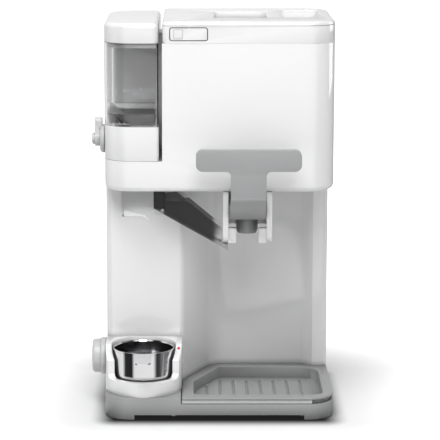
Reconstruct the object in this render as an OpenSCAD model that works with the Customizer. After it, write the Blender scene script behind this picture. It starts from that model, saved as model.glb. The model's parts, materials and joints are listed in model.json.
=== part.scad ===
// Soft-serve ice cream maker: a head with a freezer bowl over a dispensing niche, a pull handle
// with its valve, a condiment hopper with a chute, a cup warmer and a drip tray.
// Millimetres. +X is to the machine's right, +Y to its back, +Z up.

/* [Body] */
// Width of the head, column and base
body_w = 240; // [234:1:248]
// Depth of the head, from its front face to the back
head_d = 177; // [172:1:190]
// How far the base stands out in front of the head
base_out = 28.5; // [24:0.5:34]
// Height of the base deck that the column and the tray sit on
base_h = 24.5; // [23:0.5:28]
// Height of the underside of the head
head_z = 237.5; // [225:0.5:260]
// Height of the head's upright wall
head_h = 154.5; // [150:0.5:170]
// Radius of the upright corners of the head
head_r = 30; // [24:1:34]
// Rounding of the head's lower edge
head_edge_r = 6; // [3:0.5:8]
// Thickness of the moulded walls
wall = 3; // [2.4:0.1:3.4]
// Gap between pieces that come apart
part_gap = 0.3; // [0.2:0.05:0.4]

/* [Collar and lid] */
// Height of the collar round the top of the head
collar_h = 18.2; // [17.5:0.1:22]
// Height of the lid above the collar
lid_h = 4.2; // [4:0.1:6]
// Rounding of the lid's top edge
lid_edge_r = 3.8; // [2:0.2:3.8]
// Depth of the wells in the lid
lid_well_d = 11; // [6:0.5:12]
// Width of the bridge between the two wells of the lid
lid_bridge_w = 16; // [12:1:20]
// Width of the power rocker
rocker_w = 38; // [30:1:40]
// Height of the power rocker
rocker_h = 12.4; // [10:0.2:13]
// Clearance round the power rocker
rocker_gap = 0.9; // [0.7:0.1:1.2]

/* [Condiment dispenser] */
// Width of the condiment hopper
hopper_w = 57; // [52:1:60]
// Depth of the condiment hopper
hopper_d = 122; // [110:1:125]
// Height of the shelf that the dispenser base stands on
shelf_z = 269.8; // [266:0.2:274]
// Height of the dispenser base
dispenser_h = 35.6; // [34:0.2:40]
// Wall of the clear hopper
hopper_wall = 2; // [1.6:0.1:2.6]
// Height of the funnel inside the hopper
funnel_h = 13; // [10:0.5:18]
// Height of the hopper's cap above its rim
cap_h = 20.7; // [18:0.1:24]
// Radius of the metering rotor
rotor_r = 12.5; // [11:0.25:13]
// Number of vanes on the metering rotor
rotor_vanes = 6; // [4:1:8]
// Radius of the metering rotor's shaft
rotor_shaft_r = 3; // [2.5:0.1:3.5]
// How far the knob of the rotor stands out from the side
knob_out = 14; // [12:0.5:18]
// Slope of the condiment chute below horizontal
chute_slope = 30; // [27:1:32]
// Width of the condiment chute, front to back
chute_w = 26; // [22:1:28]
// Wall of the clear chute
chute_wall = 1.8; // [1.4:0.1:2.2]

/* [Dispensing head] */
// Sideways place of the spout, from the middle of the head's room beside the dispenser
spout_off = -0.85; // [-3:0.05:2]
// Distance of the spout behind the head's front face
spout_y = 29; // [28:0.5:30]
// Half the clear width between the bracket's side plates
bracket_half = 20; // [19.5:0.1:20.5]
// Thickness of the bracket's side plates
bracket_t = 5.6; // [4.5:0.1:6]
// How far the bracket hangs below the head
bracket_drop = 54.5; // [52:0.5:58]
// Radius of the nozzle
nozzle_r = 11.5; // [10.8:0.1:11.6]
// Height of the nozzle
nozzle_h = 20; // [18:0.5:22]
// Radius of the bore that the plunger slides in
valve_r = 6; // [5.6:0.1:6.2]
// Points of the star-shaped outlet
star_points = 6; // [5:1:8]
// Radius of the handle's pivot pin
pivot_r = 3; // [2.5:0.1:3.4]
// Running clearance of shafts and pins in their bores
run_gap = 0.05; // [0.03:0.01:0.08]

/* [Handle] */
// Width of the handle's cross bar
bar_w = 108; // [95:1:115]
// Height of the handle's cross bar
bar_h = 22.2; // [18:0.2:26]
// Thickness of the handle's cross bar
bar_t = 10; // [8:0.5:12]
// Gap for the fingers behind the cross bar
finger_gap = 31; // [28:0.5:33]
// Width of the handle's stem
stem_w = 36.3; // [32:0.1:37]
// Height of the middle of the cross bar
bar_z = 276.6; // [272:0.2:284]

/* [Freezer bowl and drive] */
// Least clearance between the freezer bowl and the walls round it
bowl_clear = 3; // [2:0.5:4]
// Room behind the freezer bowl
bowl_back = 8; // [6:0.5:12]
// Thickness of the bowl's double wall
bowl_wall = 16; // [13:0.5:18]
// Height of the freezer bowl
bowl_h = 124; // [115:1:126]
// Radius of the drive spindle
spindle_r = 5; // [4.5:0.1:5.5]
// Clearance between the final gear and the duct in front of it
duct_gap = 1.8; // [1.4:0.1:4]
// Tooth module of the motor gear pair
motor_module = 1.25; // [1.2:0.01:1.3]
// Teeth of the two driven gears
wheel_teeth = 44; // [40:1:44]
// Teeth of the two pinions
pinion_teeth = 12; // [11:1:13]
// Radius of the motor
motor_r = 22.5; // [20:0.5:23]
// Height of the motor
motor_h = 70; // [55:1:85]

/* [Column] */
// Distance of the column's left front panel behind the head's front face
panel_y = 48; // [47:0.5:52]
// Distance of the niche's back wall behind the head's front face
niche_y = 121; // [116:0.5:122]
// Slant of the niche's left wall, from the machine's width axis
niche_slant = 66; // [60:1:72]
// Radius of the curve between the niche's left and back walls
niche_r = 24; // [16:1:28]
// Radius of the column's upright front corners
panel_r = 7; // [5:0.5:9]
// Width of the opening behind the rear cover
rear_open_w = 176; // [150:1:184]

/* [Base and drip tray] */
// Radius of the base's front corners
base_r = 27; // [22:1:32]
// Height of the cut-outs under the base's edges
scallop_h = 6; // [4:0.5:7]
// Height of the rubber feet
foot_h = 6; // [5:0.25:7]
// Radius of the rubber feet
foot_r = 9; // [7:0.5:11]
// Thickness of the tray's rim
rim_t = 2.1; // [1.6:0.1:2.6]
// Depth of the tray's basin
basin_depth = 12; // [10:0.5:13]
// Spacing of the grooves in the tray's floor
groove_pitch = 14.6; // [12:0.2:16]
// Width of the grooves in the tray's floor
groove_w = 3; // [2:0.2:4]

/* [Cup warmer] */
// Radius of the cup's rim
cup_r = 32.5; // [30:0.5:33.5]
// Height of the cup
cup_h = 31.5; // [26:0.5:36]
// Wall of the steel cup
cup_wall = 0.9; // [0.8:0.1:1.2]
// Width of the cup's tab handle
tab_w = 17.6; // [14:0.2:22]
// Reach of the cup's tab handle from the rim
tab_l = 32; // [26:0.5:36]
// Height of the warmer ring's low front wall
ring_low_h = 15.5; // [14:0.5:18]
// Height of the warmer ring's shoulders
ring_high_h = 48.5; // [44:0.5:52]
// Radius of the heater dial
dial_r = 18; // [15:0.5:20]
// How far the heater dial stands out from the side
dial_out = 15; // [12:0.5:17]

/* [Hidden] */
$fn = 64;
cut = 1;                                // overshoot of a cutter past a face
half_w = body_w / 2;
head_top = head_z + head_h;             // seam between the head and the collar
collar_top = head_top + collar_h;
lid_top = collar_top + part_gap + lid_h;
floor_top = head_z + wall;              // inside floor of the head
gland_out = 2;                          // how far the cord gland's lip stands out at the back
back_reach = head_d + gland_out;
cover_skin = 1.6;                       // thickness of the rear cover's outer plate
cover_rib = 2.4;                        // thickness of its inner plate
tooth_tip = 0.8;                        // height of a gear's tooth above its pitch circle, in modules

// Condiment dispenser
pocket_x = -half_w + hopper_w + 3.5;    // right wall of the pocket that the dispenser fits in
pocket_y = hopper_d + 4;                // back wall of that pocket
hopper_x0 = -half_w;
hopper_x1 = hopper_x0 + hopper_w;
dispenser_z0 = shelf_z + part_gap;
dispenser_z1 = dispenser_z0 + dispenser_h;
hopper_z1 = head_top - 0.2;             // rim of the clear hopper
rotor_y = 45;                           // axis of the metering rotor
rotor_z = dispenser_z0 + dispenser_h / 2;
rotor_room = 0.6;                       // clearance of the rotor in its chamber
drop_x = hopper_x0 + 42;                // middle of the drop hole under the rotor
drop_w = 24;                            // width of the drop hole
drop_d = 20;                            // depth of the drop hole, front to back

// Spout: in the middle of the room right of the dispenser, but for a small offset
room_mid = (pocket_x + half_w) / 2;
spout_x = room_mid + spout_off;

// Chute
chute_x0 = -half_w + 18;                // left end of the socket
chute_x1 = chute_x0 + 45;               // right end of the socket
chute_y0 = spout_y - chute_w / 2 - 2;
chute_y1 = spout_y + chute_w / 2 + 2;
socket_h = 20;                          // height of the socket's front panel
socket_skirt = 8;                       // how far its left part hangs lower
bracket_out = bracket_half + bracket_t;
chute_tip_x = spout_x - bracket_half - 0.4;
chute_tip_h = 8.5;                      // height of the open end under the bracket
bracket_z = head_z - bracket_drop;
chute_mouth_z = bracket_z - 1.5;        // top of the open end, just under the side plate
chute_tip_z = chute_mouth_z - chute_tip_h;
chute_start_z = chute_tip_z + (chute_tip_x - chute_x1 + 12) * tan(chute_slope);

// Valve and handle
pivot_y = 8;
pivot_z = head_z - 21.5;
hub_r = 8.5;                            // radius of the handle's pivot barrel
hub_half = bracket_half - 0.5;          // half the barrel's length
arm_t = 3;                              // thickness of the fork's two arms
arm_in = 9.8;                           // inner face of each arm from the spout's middle
arm_h = 4.6;                            // half height of an arm
arm_reach = spout_y - pivot_y;          // from the pivot to the plunger's cross pin
pull_angle = 30;                        // pull of the handle at full opening
lift = arm_reach * tan(pull_angle);     // lift of the plunger at full opening
pin_r = 1.6;                            // plunger's cross pin
slot_r = 2.3;                           // half width of the slot in each arm
tube_r = 9;                             // outside of the valve tube
tube_z0 = pivot_z - 16.8;               // open end of the valve tube
valve_top = pivot_z + 28;               // blind end of the valve bore
plunger_z0 = pivot_z - 16;
plunger_z1 = pivot_z + 6;
port_r = 4;                             // side port and duct of the valve
port_z = pivot_z - 9;
duct_y = spout_y + 15;                  // upright duct from the bowl to the side port
nozzle_z0 = tube_z0 - 9;

// Freezer bowl and gears
bowl_x = spout_x;
bowl_r = min((head_d - 2 * wall - bowl_clear - bowl_back) / 2,
    half_w - wall - room_mid - abs(spout_off) - bowl_clear);
bowl_y = wall + bowl_clear + bowl_r;
seat_z = floor_top + 21.5;              // top of the ring that the bowl sits on
bowl_z = seat_z + part_gap;
bowl_in = bowl_r - bowl_wall;
bowl_floor = 10;
cover_z = seat_z - 5;                   // underside of the gear cover
cover_t = 3;
gear_t = 8;                             // thickness of the final gear
pinion_t = 7;
wheel_t = 5;                            // thickness of the first gear
final_z = floor_top + 6.5;              // final gear
final_top = final_z + gear_t;
first_z = floor_top + 1;                // first gear, under the final one
backlash = 0.9;                         // degrees taken off a pinion tooth, in all
duct_r = 6;                             // outside of the duct
final_module = (bowl_y - duct_y - duct_r - duct_gap) / (wheel_teeth / 2 + tooth_tip);
final_dist = final_module * (wheel_teeth + pinion_teeth) / 2;
spindle_gap = 1.5;                      // least clearance between the first gear and the spindle
first_module = min(motor_module,
    (final_dist - spindle_r - spindle_gap) / (wheel_teeth / 2 + tooth_tip));
first_dist = first_module * (wheel_teeth + pinion_teeth) / 2;
motor_gap = 0.5;                        // clearance between the motor and the rear cover
motor_y = head_d - cover_skin - cover_rib - motor_gap - motor_r;
drive_run = motor_y - bowl_y;
gear_along = (final_dist ^ 2 - first_dist ^ 2 + drive_run ^ 2) / (2 * drive_run);
gear_x = bowl_x + sqrt(final_dist ^ 2 - gear_along ^ 2);
gear_y = bowl_y + gear_along;
axle_r = 3;
motor_top = head_z - 1;

// Column: centres of the plan's corner circles
slant_s = sin(niche_slant);
slant_c = cos(niche_slant);
slant_x = -half_w + 80.6;               // niche edge on the line of the panel
function slant_at(y) = slant_x + (y - panel_y + 2) * slant_c / slant_s;
panel_corner = [slant_at(panel_y + panel_r) - panel_r / slant_s, panel_y + panel_r];
niche_corner = [slant_at(niche_y - niche_r) + niche_r / slant_s, niche_y - niche_r];
pilaster_y = niche_y - 11;              // front of the right pilaster
step_x = half_w - 27;                   // where the back wall starts its step forward
step_sum = step_x + niche_y;            // the step runs at 45 degrees

// Tray
bay_x = slant_x - 0.8;                  // left edge of the tray's bay
tray_x = bay_x + 1.2;
tray_gap = 0.6;
bay_z = base_h - 6.8;                   // deck that the tray's skirt rests on
basin_x0 = tray_x + 12;
basin_x1 = half_w - 10.4;
basin_y0 = -base_out + 14.5;
basin_y1 = niche_y - 18;
basin_wall = 2;
basin_z = base_h - basin_depth;         // top of the tray's ribs
basin_bottom = basin_z - basin_wall;
basin_slant_y = panel_y - 8;            // where the basin's left edge turns slanting
well_floor = basin_bottom - 1.3;

// Warmer
ring_r = (slant_x + half_w) / 2;
ring_x = -half_w + ring_r;
ring_y = 12;
plate_top = base_h + 13.4;
cup_z0 = plate_top + part_gap;
cup_base_r = cup_r - 1.6;
dial_y = 40;
dial_z = base_h + 29;
dial_shaft_r = 3;

// Colours of the mouldings and metals
white = "white";
grey = "darkgray";
dark = "dimgray";
clear = [0.8, 0.85, 0.9, 0.4];
steel = "silver";

// ---- Shared shapes ----

// Rectangle from (x0, y0) to (x1, y1), its four corners rounded by r, anticlockwise from (x0, y0)
module rounded(x0, y0, x1, y1, r) {
    polygon([
        [x0 + r[0], y0], [x1 - r[1], y0], [x1, y0 + r[1]], [x1, y1 - r[2]],
        [x1 - r[2], y1], [x0 + r[3], y1], [x0, y1 - r[3]], [x0, y0 + r[0]]
    ]);
    translate([x0 + r[0], y0 + r[0]]) quarter_disc(r[0], 180);
    translate([x1 - r[1], y0 + r[1]]) quarter_disc(r[1], 270);
    translate([x1 - r[2], y1 - r[2]]) quarter_disc(r[2], 0);
    translate([x0 + r[3], y1 - r[3]]) quarter_disc(r[3], 90);
}

// A quarter of a disc, turned to the corner that it rounds
module quarter_disc(r, turn) {
    if (r > 0) rotate(turn) intersection() {
        circle(r);
        square(r);
    }
}

// The sector of a disc between two directions, for rounding a corner of a drawn outline
module sector(centre, r, a0, a1) {
    reach = 2 * r;
    translate(centre) intersection() {
        circle(r);
        polygon([
            [0, 0], [reach * cos(a0), reach * sin(a0)],
            [reach * cos((a0 + a1) / 2), reach * sin((a0 + a1) / 2)],
            [reach * cos(a1), reach * sin(a1)]
        ]);
    }
}

// An upright extrusion of a plan between two heights
module slab(z0, z1) {
    translate([0, 0, z0]) linear_extrude(z1 - z0) children();
}

// A (y, z) profile, run along X between two places
module along_x(x0, x1) {
    translate([x0, 0, 0]) rotate([90, 0, 90]) linear_extrude(x1 - x0) children();
}

// An (x, z) profile, run along Y between two places
module along_y(y0, y1) {
    translate([0, y1, 0]) rotate([90, 0, 0]) linear_extrude(y1 - y0) children();
}

// A block with its left and right upright corners rounded by left and right, and its lower and
// upper edges by low and high
module soft_block(x0, y0, x1, y1, z0, z1, left, right, low, high) {
    blend = 1;
    for (c = [[x0 + left, y0 + left, left, 180], [x1 - right, y0 + right, right, 270],
              [x1 - right, y1 - right, right, 0], [x0 + left, y1 - left, left, 90]])
        translate([c[0], c[1], 0]) rotate(c[3]) rotate_extrude(angle = 90)
            rounded(0, z0, c[2], z1, [0, low, high, 0]);
    along_x(x0 + left, x1 - right) rounded(y0, z0, y1, z1, [low, low, high, high]);
    along_y(y0 + left, y1 - left) rounded(x0, z0, x0 + left + blend, z1, [low, 0, 0, high]);
    along_y(y0 + right, y1 - right) rounded(x1 - right - blend, z0, x1, z1, [0, low, high, 0]);
}

// Place of the whole machine: the middle of its footprint, at the bottom, is the origin
module place() {
    left_reach = half_w + max(knob_out, dial_out);
    front_reach = tab_l + cup_r - ring_y - 0.5;
    translate([(left_reach - half_w) / 2, (front_reach - back_reach) / 2, 0]) children();
}

// Outline of a spur gear with stub teeth
module gear_outline(m, teeth, slim) {
    pitch_r = m * teeth / 2;
    base_circle = pitch_r * cos(25);
    root = pitch_r - 1.05 * m;
    tip = pitch_r + tooth_tip * m;
    function flank(r) = let (a = acos(min(1, base_circle / r))) tan(a) * 180 / PI - a;
    half_tooth = 90 / teeth + flank(pitch_r) - slim / 2;
    radii = [root, max(root, base_circle), pitch_r, tip];
    polygon([
        for (t = [0 : teeth - 1], side = [-1, 1], i = [0 : 3])
            let (r = radii[side < 0 ? i : 3 - i])
            let (a = 360 / teeth * t + side * (half_tooth - flank(max(r, base_circle))))
            [r * cos(a), r * sin(a)]
    ]);
}

// A screw with a pan head, its head's underside at z = 0 and its shank pointing down
module pan_screw(head_radius, shank_radius, length) {
    rotate_extrude() {
        square([head_radius, 1.2]);
        translate([0, 1.2]) square([head_radius * 0.8, 0.6]);
    }
    translate([0, 0, -length]) cylinder(h = length, r = shank_radius);
}

// ---- Head ----

// Clearance pocket for the condiment dispenser, open to the front, left and top
module dispenser_pocket(grow) {
    translate([-half_w - cut, -cut, shelf_z - grow])
        cube([pocket_x + half_w + cut + grow, pocket_y + cut + grow, head_h]);
}

// Duct from under the metering rotor to the chute, leaning forward on its way down
module drop_duct(grow, z0, z1) {
    along_x(drop_x - drop_w / 2 - grow, drop_x + drop_w / 2 + grow) polygon([
        [spout_y - drop_d / 2 + 3 - grow, z0], [spout_y + drop_d / 2 + grow, z0],
        [rotor_y + drop_d / 2 - 1 + grow, z1], [rotor_y - drop_d / 2 + 1 - grow, z1]
    ]);
}

module main_housing() {
    color(white) place() difference() {
        soft_block(-half_w, 0, half_w, head_d, head_z, head_top, head_r, head_r, head_edge_r, 0);
        dispenser_pocket(0);
        difference() {
            slab(floor_top, head_top + cut)
                rounded(-half_w + wall, wall, half_w - wall, head_d - wall,
                    [for (i = [0 : 3]) head_r - wall]);
            dispenser_pocket(wall);
            translate([-half_w, 0, head_top - wall])
                cube([pocket_x + half_w + wall, head_d, wall + 2 * cut]);
            drop_duct(2, floor_top - cut, shelf_z);
        }
        drop_duct(0, head_z - cut, shelf_z + cut);
        translate([spout_x, spout_y, head_z - cut]) cylinder(h = wall + 2 * cut, r = tube_r + 0.2);
        translate([spout_x - 6.2, spout_y, head_z - cut])
            cube([12.4, duct_y - spout_y + 6.2, wall + 2 * cut]);
        translate([bowl_x, motor_y, head_z - cut]) cylinder(h = wall + 2 * cut, r = 8);
        translate([-half_w + 40, head_d - 25, head_z - cut]) cylinder(h = wall + 2 * cut, r = 7);
    }
}

collar_r = 5;                           // upright left corners of the collar and the lid
module top_collar() {
    x0 = pocket_x + 0.3;
    color(white) place() difference() {
        slab(head_top, collar_top) rounded(x0, 0, half_w, head_d, [collar_r, head_r, head_r, collar_r]);
        slab(head_top - cut, collar_top + cut)
            rounded(x0 + wall, wall, half_w - wall, head_d - wall,
                [collar_r - wall, head_r - wall, head_r - wall, collar_r - wall]);
        rocker_window(rocker_gap, -cut, wall + cut);
    }
}

// Rocker: middle of its face
rocker_x = pocket_x + 27.5;
rocker_z = head_top + 9.8;
rocker_axis_y = wall + 2;
rocker_pin_r = 1.2;
rocker_frame = 1.5;                     // how far the bezel laps past the window
module rocker_window(grow, y0, y1) {
    w = rocker_w / 2 + grow;
    h = rocker_h / 2 + grow;
    r = 2 + grow;
    along_y(y0, y1)
        rounded(rocker_x - w, rocker_z - h, rocker_x + w, rocker_z + h, [r, r, r, r]);
}

module power_rocker() {
    pad_w = 9;
    color(white) place() {
        difference() {
            rocker_window(0, 0.3, 3.3);
            translate([rocker_x - rocker_w / 2 + 3.2, -cut, rocker_z - pad_w / 2 - 0.4])
                cube([pad_w + 0.8, cut + 0.7, pad_w + 0.8]);
        }
        along_y(0.1, 1.2)
            rounded(rocker_x - rocker_w / 2 + 3.6, rocker_z - pad_w / 2,
                rocker_x - rocker_w / 2 + 3.6 + pad_w, rocker_z + pad_w / 2, [2, 2, 2, 2]);
        translate([rocker_x - 1.8, 3.3, rocker_z - rocker_h / 2 + 1]) cube([3.6, 2, rocker_h - 2]);
        translate([rocker_x, rocker_axis_y, rocker_z])
            cylinder(h = rocker_h + 2 * rocker_gap + 2, r = rocker_pin_r, center = true);
    }
}

module rocker_bezel() {
    color(dark) place() difference() {
        rocker_window(rocker_frame + rocker_gap, wall, wall + 4);
        rocker_window(rocker_gap, wall - cut, wall + 4 + cut);
        translate([rocker_x, rocker_axis_y, rocker_z])
            cylinder(h = rocker_h + 2 * rocker_gap + 2.4, r = rocker_pin_r + run_gap, center = true);
    }
}

module rocker_switch() {
    y0 = wall + 4;
    color("black") place() {
        difference() {
            rocker_window(rocker_frame + rocker_gap, y0, y0 + 3);
            rocker_window(rocker_gap, y0 - cut, y0 + 2);
        }
        translate([rocker_x - 11, y0 + 3, rocker_z - 5]) cube([22, 8, 10]);
    }
}

// One well of the lid, open to the top, from its plan grown by the tub's wall or not
module lid_well(x0, x1, x1_back, y0, y1, grow, z0, z1) {
    slab(z0, z1) difference() {
        rounded(x0 - grow, y0 - grow, x1_back + grow, y1 + grow, [5, 5, 5, 5]);
        polygon([
            [x1 + grow, y0 - grow - cut], [x1_back + grow + cut, y0 - grow - cut],
            [x1_back + grow + cut, y1 + grow], [x1_back + grow, y1 + grow - 8]
        ]);
    }
}

right_well_w = 42;                      // width of the right well, at its back
left_well_w = 56;
well_y = 48;                            // front edge of both wells
well_split = half_w - 11.5 - right_well_w - lid_bridge_w;   // left edge of the lid's bridge
module left_well(grow, z0, z1) {
    lid_well(well_split - left_well_w, well_split, well_split, well_y, head_d - 52, grow, z0, z1);
}

module right_well(grow, z0, z1) {
    x0 = well_split + lid_bridge_w;
    lid_well(x0, x0 + right_well_w - 12, x0 + right_well_w, well_y, head_d - 27, grow, z0, z1);
}

module lid() {
    x0 = pocket_x + 0.3;
    z0 = collar_top + part_gap;
    skirt = wall + 0.6;
    skirt_y = 14;                       // the lip's front runs behind the rocker
    lip = 2;
    well_z = lid_top - lid_well_d;
    color(white) place() difference() {
        union() {
            soft_block(x0, 0, half_w, head_d, z0, lid_top, collar_r, head_r, 0, lid_edge_r);
            slab(z0 - 6, z0) difference() {
                rounded(x0 + skirt, skirt_y, half_w - skirt, head_d - skirt,
                    [3, head_r - skirt, head_r - skirt, 3]);
                rounded(x0 + skirt + lip, skirt_y + lip, half_w - skirt - lip, head_d - skirt - lip,
                    [2, head_r - skirt - lip, head_r - skirt - lip, 2]);
                translate([rocker_x - rocker_w / 2 - 5, 0]) square([rocker_w + 10, 20]);
            }
            left_well(lip, well_z + 3, z0);
            right_well(lip, well_z - lip, z0);
        }
        left_well(0, well_z + 5, lid_top + cut);
        right_well(0, well_z, lid_top + cut);
        slab(well_z - lip - cut, well_z + cut) rounded(well_split + lid_bridge_w + 3, well_y + 14,
            well_split + lid_bridge_w + 22, head_d - 63, [4, 4, 4, 4]);
    }
}

// ---- Condiment dispenser ----

// Plan of the dispenser, drawn in by inset
module dispenser_plan(inset, depth) {
    r = max(1, 3 - inset);
    rounded(hopper_x0 + inset, inset, hopper_x1 - inset, depth - inset,
        [head_r - inset, r, max(1, 8 - inset), max(1, 8 - inset)]);
}

module condiment_cap() {
    z0 = head_top + 0.3;
    z1 = z0 + cap_h;
    depth = head_d - 7;
    r = 6;
    color(white) place() {
        difference() {
            soft_block(hopper_x0, 0, hopper_x1, depth, z0, z1, head_r, r, 0, r - 1);
            slab(z0 - cut, z1 - wall) rounded(hopper_x0 + wall, wall, hopper_x1 - wall, depth - wall,
                [head_r - wall, r - wall, r - wall, head_r - wall]);
        }
        slab(z0 - 5, z1 - wall) difference() {
            dispenser_plan(hopper_wall + 0.4, hopper_d);
            dispenser_plan(hopper_wall + 2, hopper_d);
        }
    }
}

module condiment_hopper() {
    z0 = dispenser_z1;
    color(clear) place() {
        slab(z0, hopper_z1) difference() {
            dispenser_plan(0, hopper_d);
            dispenser_plan(hopper_wall, hopper_d);
        }
    }
}

funnel_hole = [drop_x - 14, rotor_y - 9, drop_x + 9, rotor_y + 9];
module hopper_funnel() {
    z0 = dispenser_z1;
    rim = z0 + funnel_h;
    color(clear) place() difference() {
        hull() {
            slab(rim - 0.8, rim) dispenser_plan(hopper_wall + 0.2, hopper_d - 14, $fn = 32);
            slab(z0, z0 + 0.8) dispenser_plan(hopper_wall + 3, hopper_d - 20, $fn = 32);
        }
        hull() {
            slab(rim, rim + 0.2) dispenser_plan(hopper_wall + 1.8, hopper_d - 14, $fn = 32);
            slab(z0 + 1.5, z0 + 1.6) translate([funnel_hole[0], funnel_hole[1]])
                square([funnel_hole[2] - funnel_hole[0], funnel_hole[3] - funnel_hole[1]]);
        }
        translate([funnel_hole[0], funnel_hole[1], z0 - cut])
            cube([funnel_hole[2] - funnel_hole[0], funnel_hole[3] - funnel_hole[1], 4 + cut]);
    }
}

chamber_x0 = hopper_x0 + 24;
chamber_x1 = hopper_x1 - 5;
module condiment_base() {
    chamber_r = rotor_r + rotor_room;
    color(white) place() difference() {
        slab(dispenser_z0, dispenser_z1) dispenser_plan(0, hopper_d);
        difference() {
            slab(dispenser_z0 - cut, dispenser_z1 - wall) dispenser_plan(wall, hopper_d);
            translate([chamber_x0 - 3, rotor_y - chamber_r - 3, dispenser_z0 - 2 * cut])
                cube([chamber_x1 - chamber_x0 + 6, 2 * chamber_r + 6, dispenser_h]);
        }
        translate([chamber_x0, rotor_y, rotor_z]) rotate([0, 90, 0])
            cylinder(h = chamber_x1 - chamber_x0, r = chamber_r);
        translate([hopper_x0 - cut, rotor_y, rotor_z]) rotate([0, 90, 0])
            cylinder(h = chamber_x0 - hopper_x0 + 2 * cut, r = rotor_shaft_r + run_gap);
        translate([funnel_hole[0], funnel_hole[1], rotor_z])
            cube([funnel_hole[2] - funnel_hole[0], funnel_hole[3] - funnel_hole[1], dispenser_h]);
        translate([drop_x - drop_w / 2, rotor_y - 9, dispenser_z0 - cut])
            cube([drop_w, 18, dispenser_h / 2]);
    }
}

module condiment_rotor() {
    x0 = chamber_x0 + 0.6;
    x1 = chamber_x1 - 0.6;
    color(grey) place() translate([x0, rotor_y, rotor_z]) rotate([0, 90, 0]) difference() {
        union() {
            cylinder(h = x1 - x0, r = rotor_shaft_r + 2.5);
            for (i = [0 : rotor_vanes - 1])
                rotate(360 / rotor_vanes * i) translate([0, -0.9, 0]) cube([rotor_r, 1.8, x1 - x0]);
        }
        translate([0, 0, -cut]) cylinder(h = x1 - x0 - 4 + cut, r = rotor_shaft_r);
    }
}

module condiment_knob() {
    disc_r = 15;
    x_end = chamber_x1 - 4.6;
    color(grey) place() {
        translate([hopper_x0 - 6, rotor_y, rotor_z]) rotate([0, 90, 0])
            cylinder(h = x_end - hopper_x0 + 6, r = rotor_shaft_r);
        translate([hopper_x0 - part_gap, rotor_y, rotor_z]) rotate([0, -90, 0]) rotate_extrude() {
            rounded(0, 0, disc_r, 5.2, [0, 0.8, 3.5, 0]);
            rounded(0, 0, 6, knob_out - part_gap, [0, 0, 1.5, 0]);
        }
        along_x(hopper_x0 - knob_out + 3, hopper_x0 - 3) difference() {
            union() {
                translate([rotor_y, rotor_z]) circle(8);
                translate([rotor_y - 4.5, rotor_z]) square([9, 18]);
                translate([rotor_y, rotor_z + 18]) circle(4.5);
            }
            translate([rotor_y, rotor_z]) circle(2);
        }
    }
}

// ---- Condiment chute ----

module chute_socket() {
    z1 = head_z - part_gap;
    z0 = z1 - socket_h;
    color(clear) place() {
        difference() {
            translate([chute_x0, chute_y0, z0]) cube([chute_x1 - chute_x0, chute_y1 - chute_y0, socket_h]);
            translate([chute_x0 + 2, chute_y0 + 2, z0 - cut])
                cube([chute_x1 - chute_x0 - 2 + cut, chute_y1 - chute_y0 - 4, socket_h + 2 * cut]);
        }
        along_y(chute_y0, chute_y0 + 2) polygon([
            [chute_x0, z0], [chute_x0, z0 - socket_skirt], [chute_x0 + 22, z0 - socket_skirt],
            [chute_x0 + 31, z0 - socket_skirt - 7], [chute_x0 + 31, z0]
        ]);
        translate([chute_x0, chute_y0, z0 - socket_skirt]) cube([2, chute_y1 - chute_y0, socket_skirt]);
    }
}

// Side outline of the chute: its floor raised by lift_floor, its open end by end
module chute_outline(lift_floor, x_end, top) {
    start_x = chute_x1 - 12;
    polygon([
        [start_x, chute_start_z + lift_floor],
        [x_end, chute_start_z + lift_floor - (x_end - start_x) * tan(chute_slope)],
        [x_end, chute_mouth_z + top], [spout_x - bracket_out - 1.2, chute_mouth_z + top],
        [spout_x - bracket_out - 1.2, chute_mouth_z + 15 + top],
        [chute_x1 + 12, head_z - part_gap - 1 + top], [start_x, head_z - part_gap - 1 + top]
    ]);
}

module condiment_chute() {
    y0 = spout_y - chute_w / 2;
    y1 = spout_y + chute_w / 2;
    color(clear) place() {
        difference() {
            along_y(y0, y1) chute_outline(0, chute_tip_x, 0);
            along_y(y0 + chute_wall, y1 - chute_wall)
                chute_outline(chute_wall / cos(chute_slope), chute_tip_x + cut, 40);
        }
        translate([chute_x1 - 11, y0 - 1.9, chute_start_z - 6])
            cube([12, 1.9, head_z - part_gap - socket_h - chute_start_z + 5.9]);
    }
}

// ---- Spout, valve and handle ----

// Side plate of the bracket, seen from the side
module plate_outline() {
    difference() {
        rounded(3, bracket_z, 45, head_z, [9, 3, 0, 0]);
        translate([pivot_y, pivot_z]) circle(pivot_r);
    }
}

module spout_bracket() {
    block_in = nozzle_r + 0.5;
    color(white) place() {
        for (side = [-1, 1]) {
            inner = side * bracket_half;
            along_x(spout_x + min(inner, inner + side * bracket_t),
                    spout_x + max(inner, inner + side * bracket_t)) plate_outline();
            translate([spout_x + (side > 0 ? block_in : -bracket_half - 0.01), 5, bracket_z])
                cube([bracket_half - block_in + 0.01, 8, 15.5]);
        }
        translate([spout_x - bracket_half - 0.01, 41, bracket_z + 14])
            difference() {
                cube([2 * bracket_half + 0.02, 4, bracket_drop - 14]);
                translate([bracket_half - 7.4, -cut, 0.6]) cube([14.8, 4 + 2 * cut, bracket_drop]);
            }
    }
}

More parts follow.
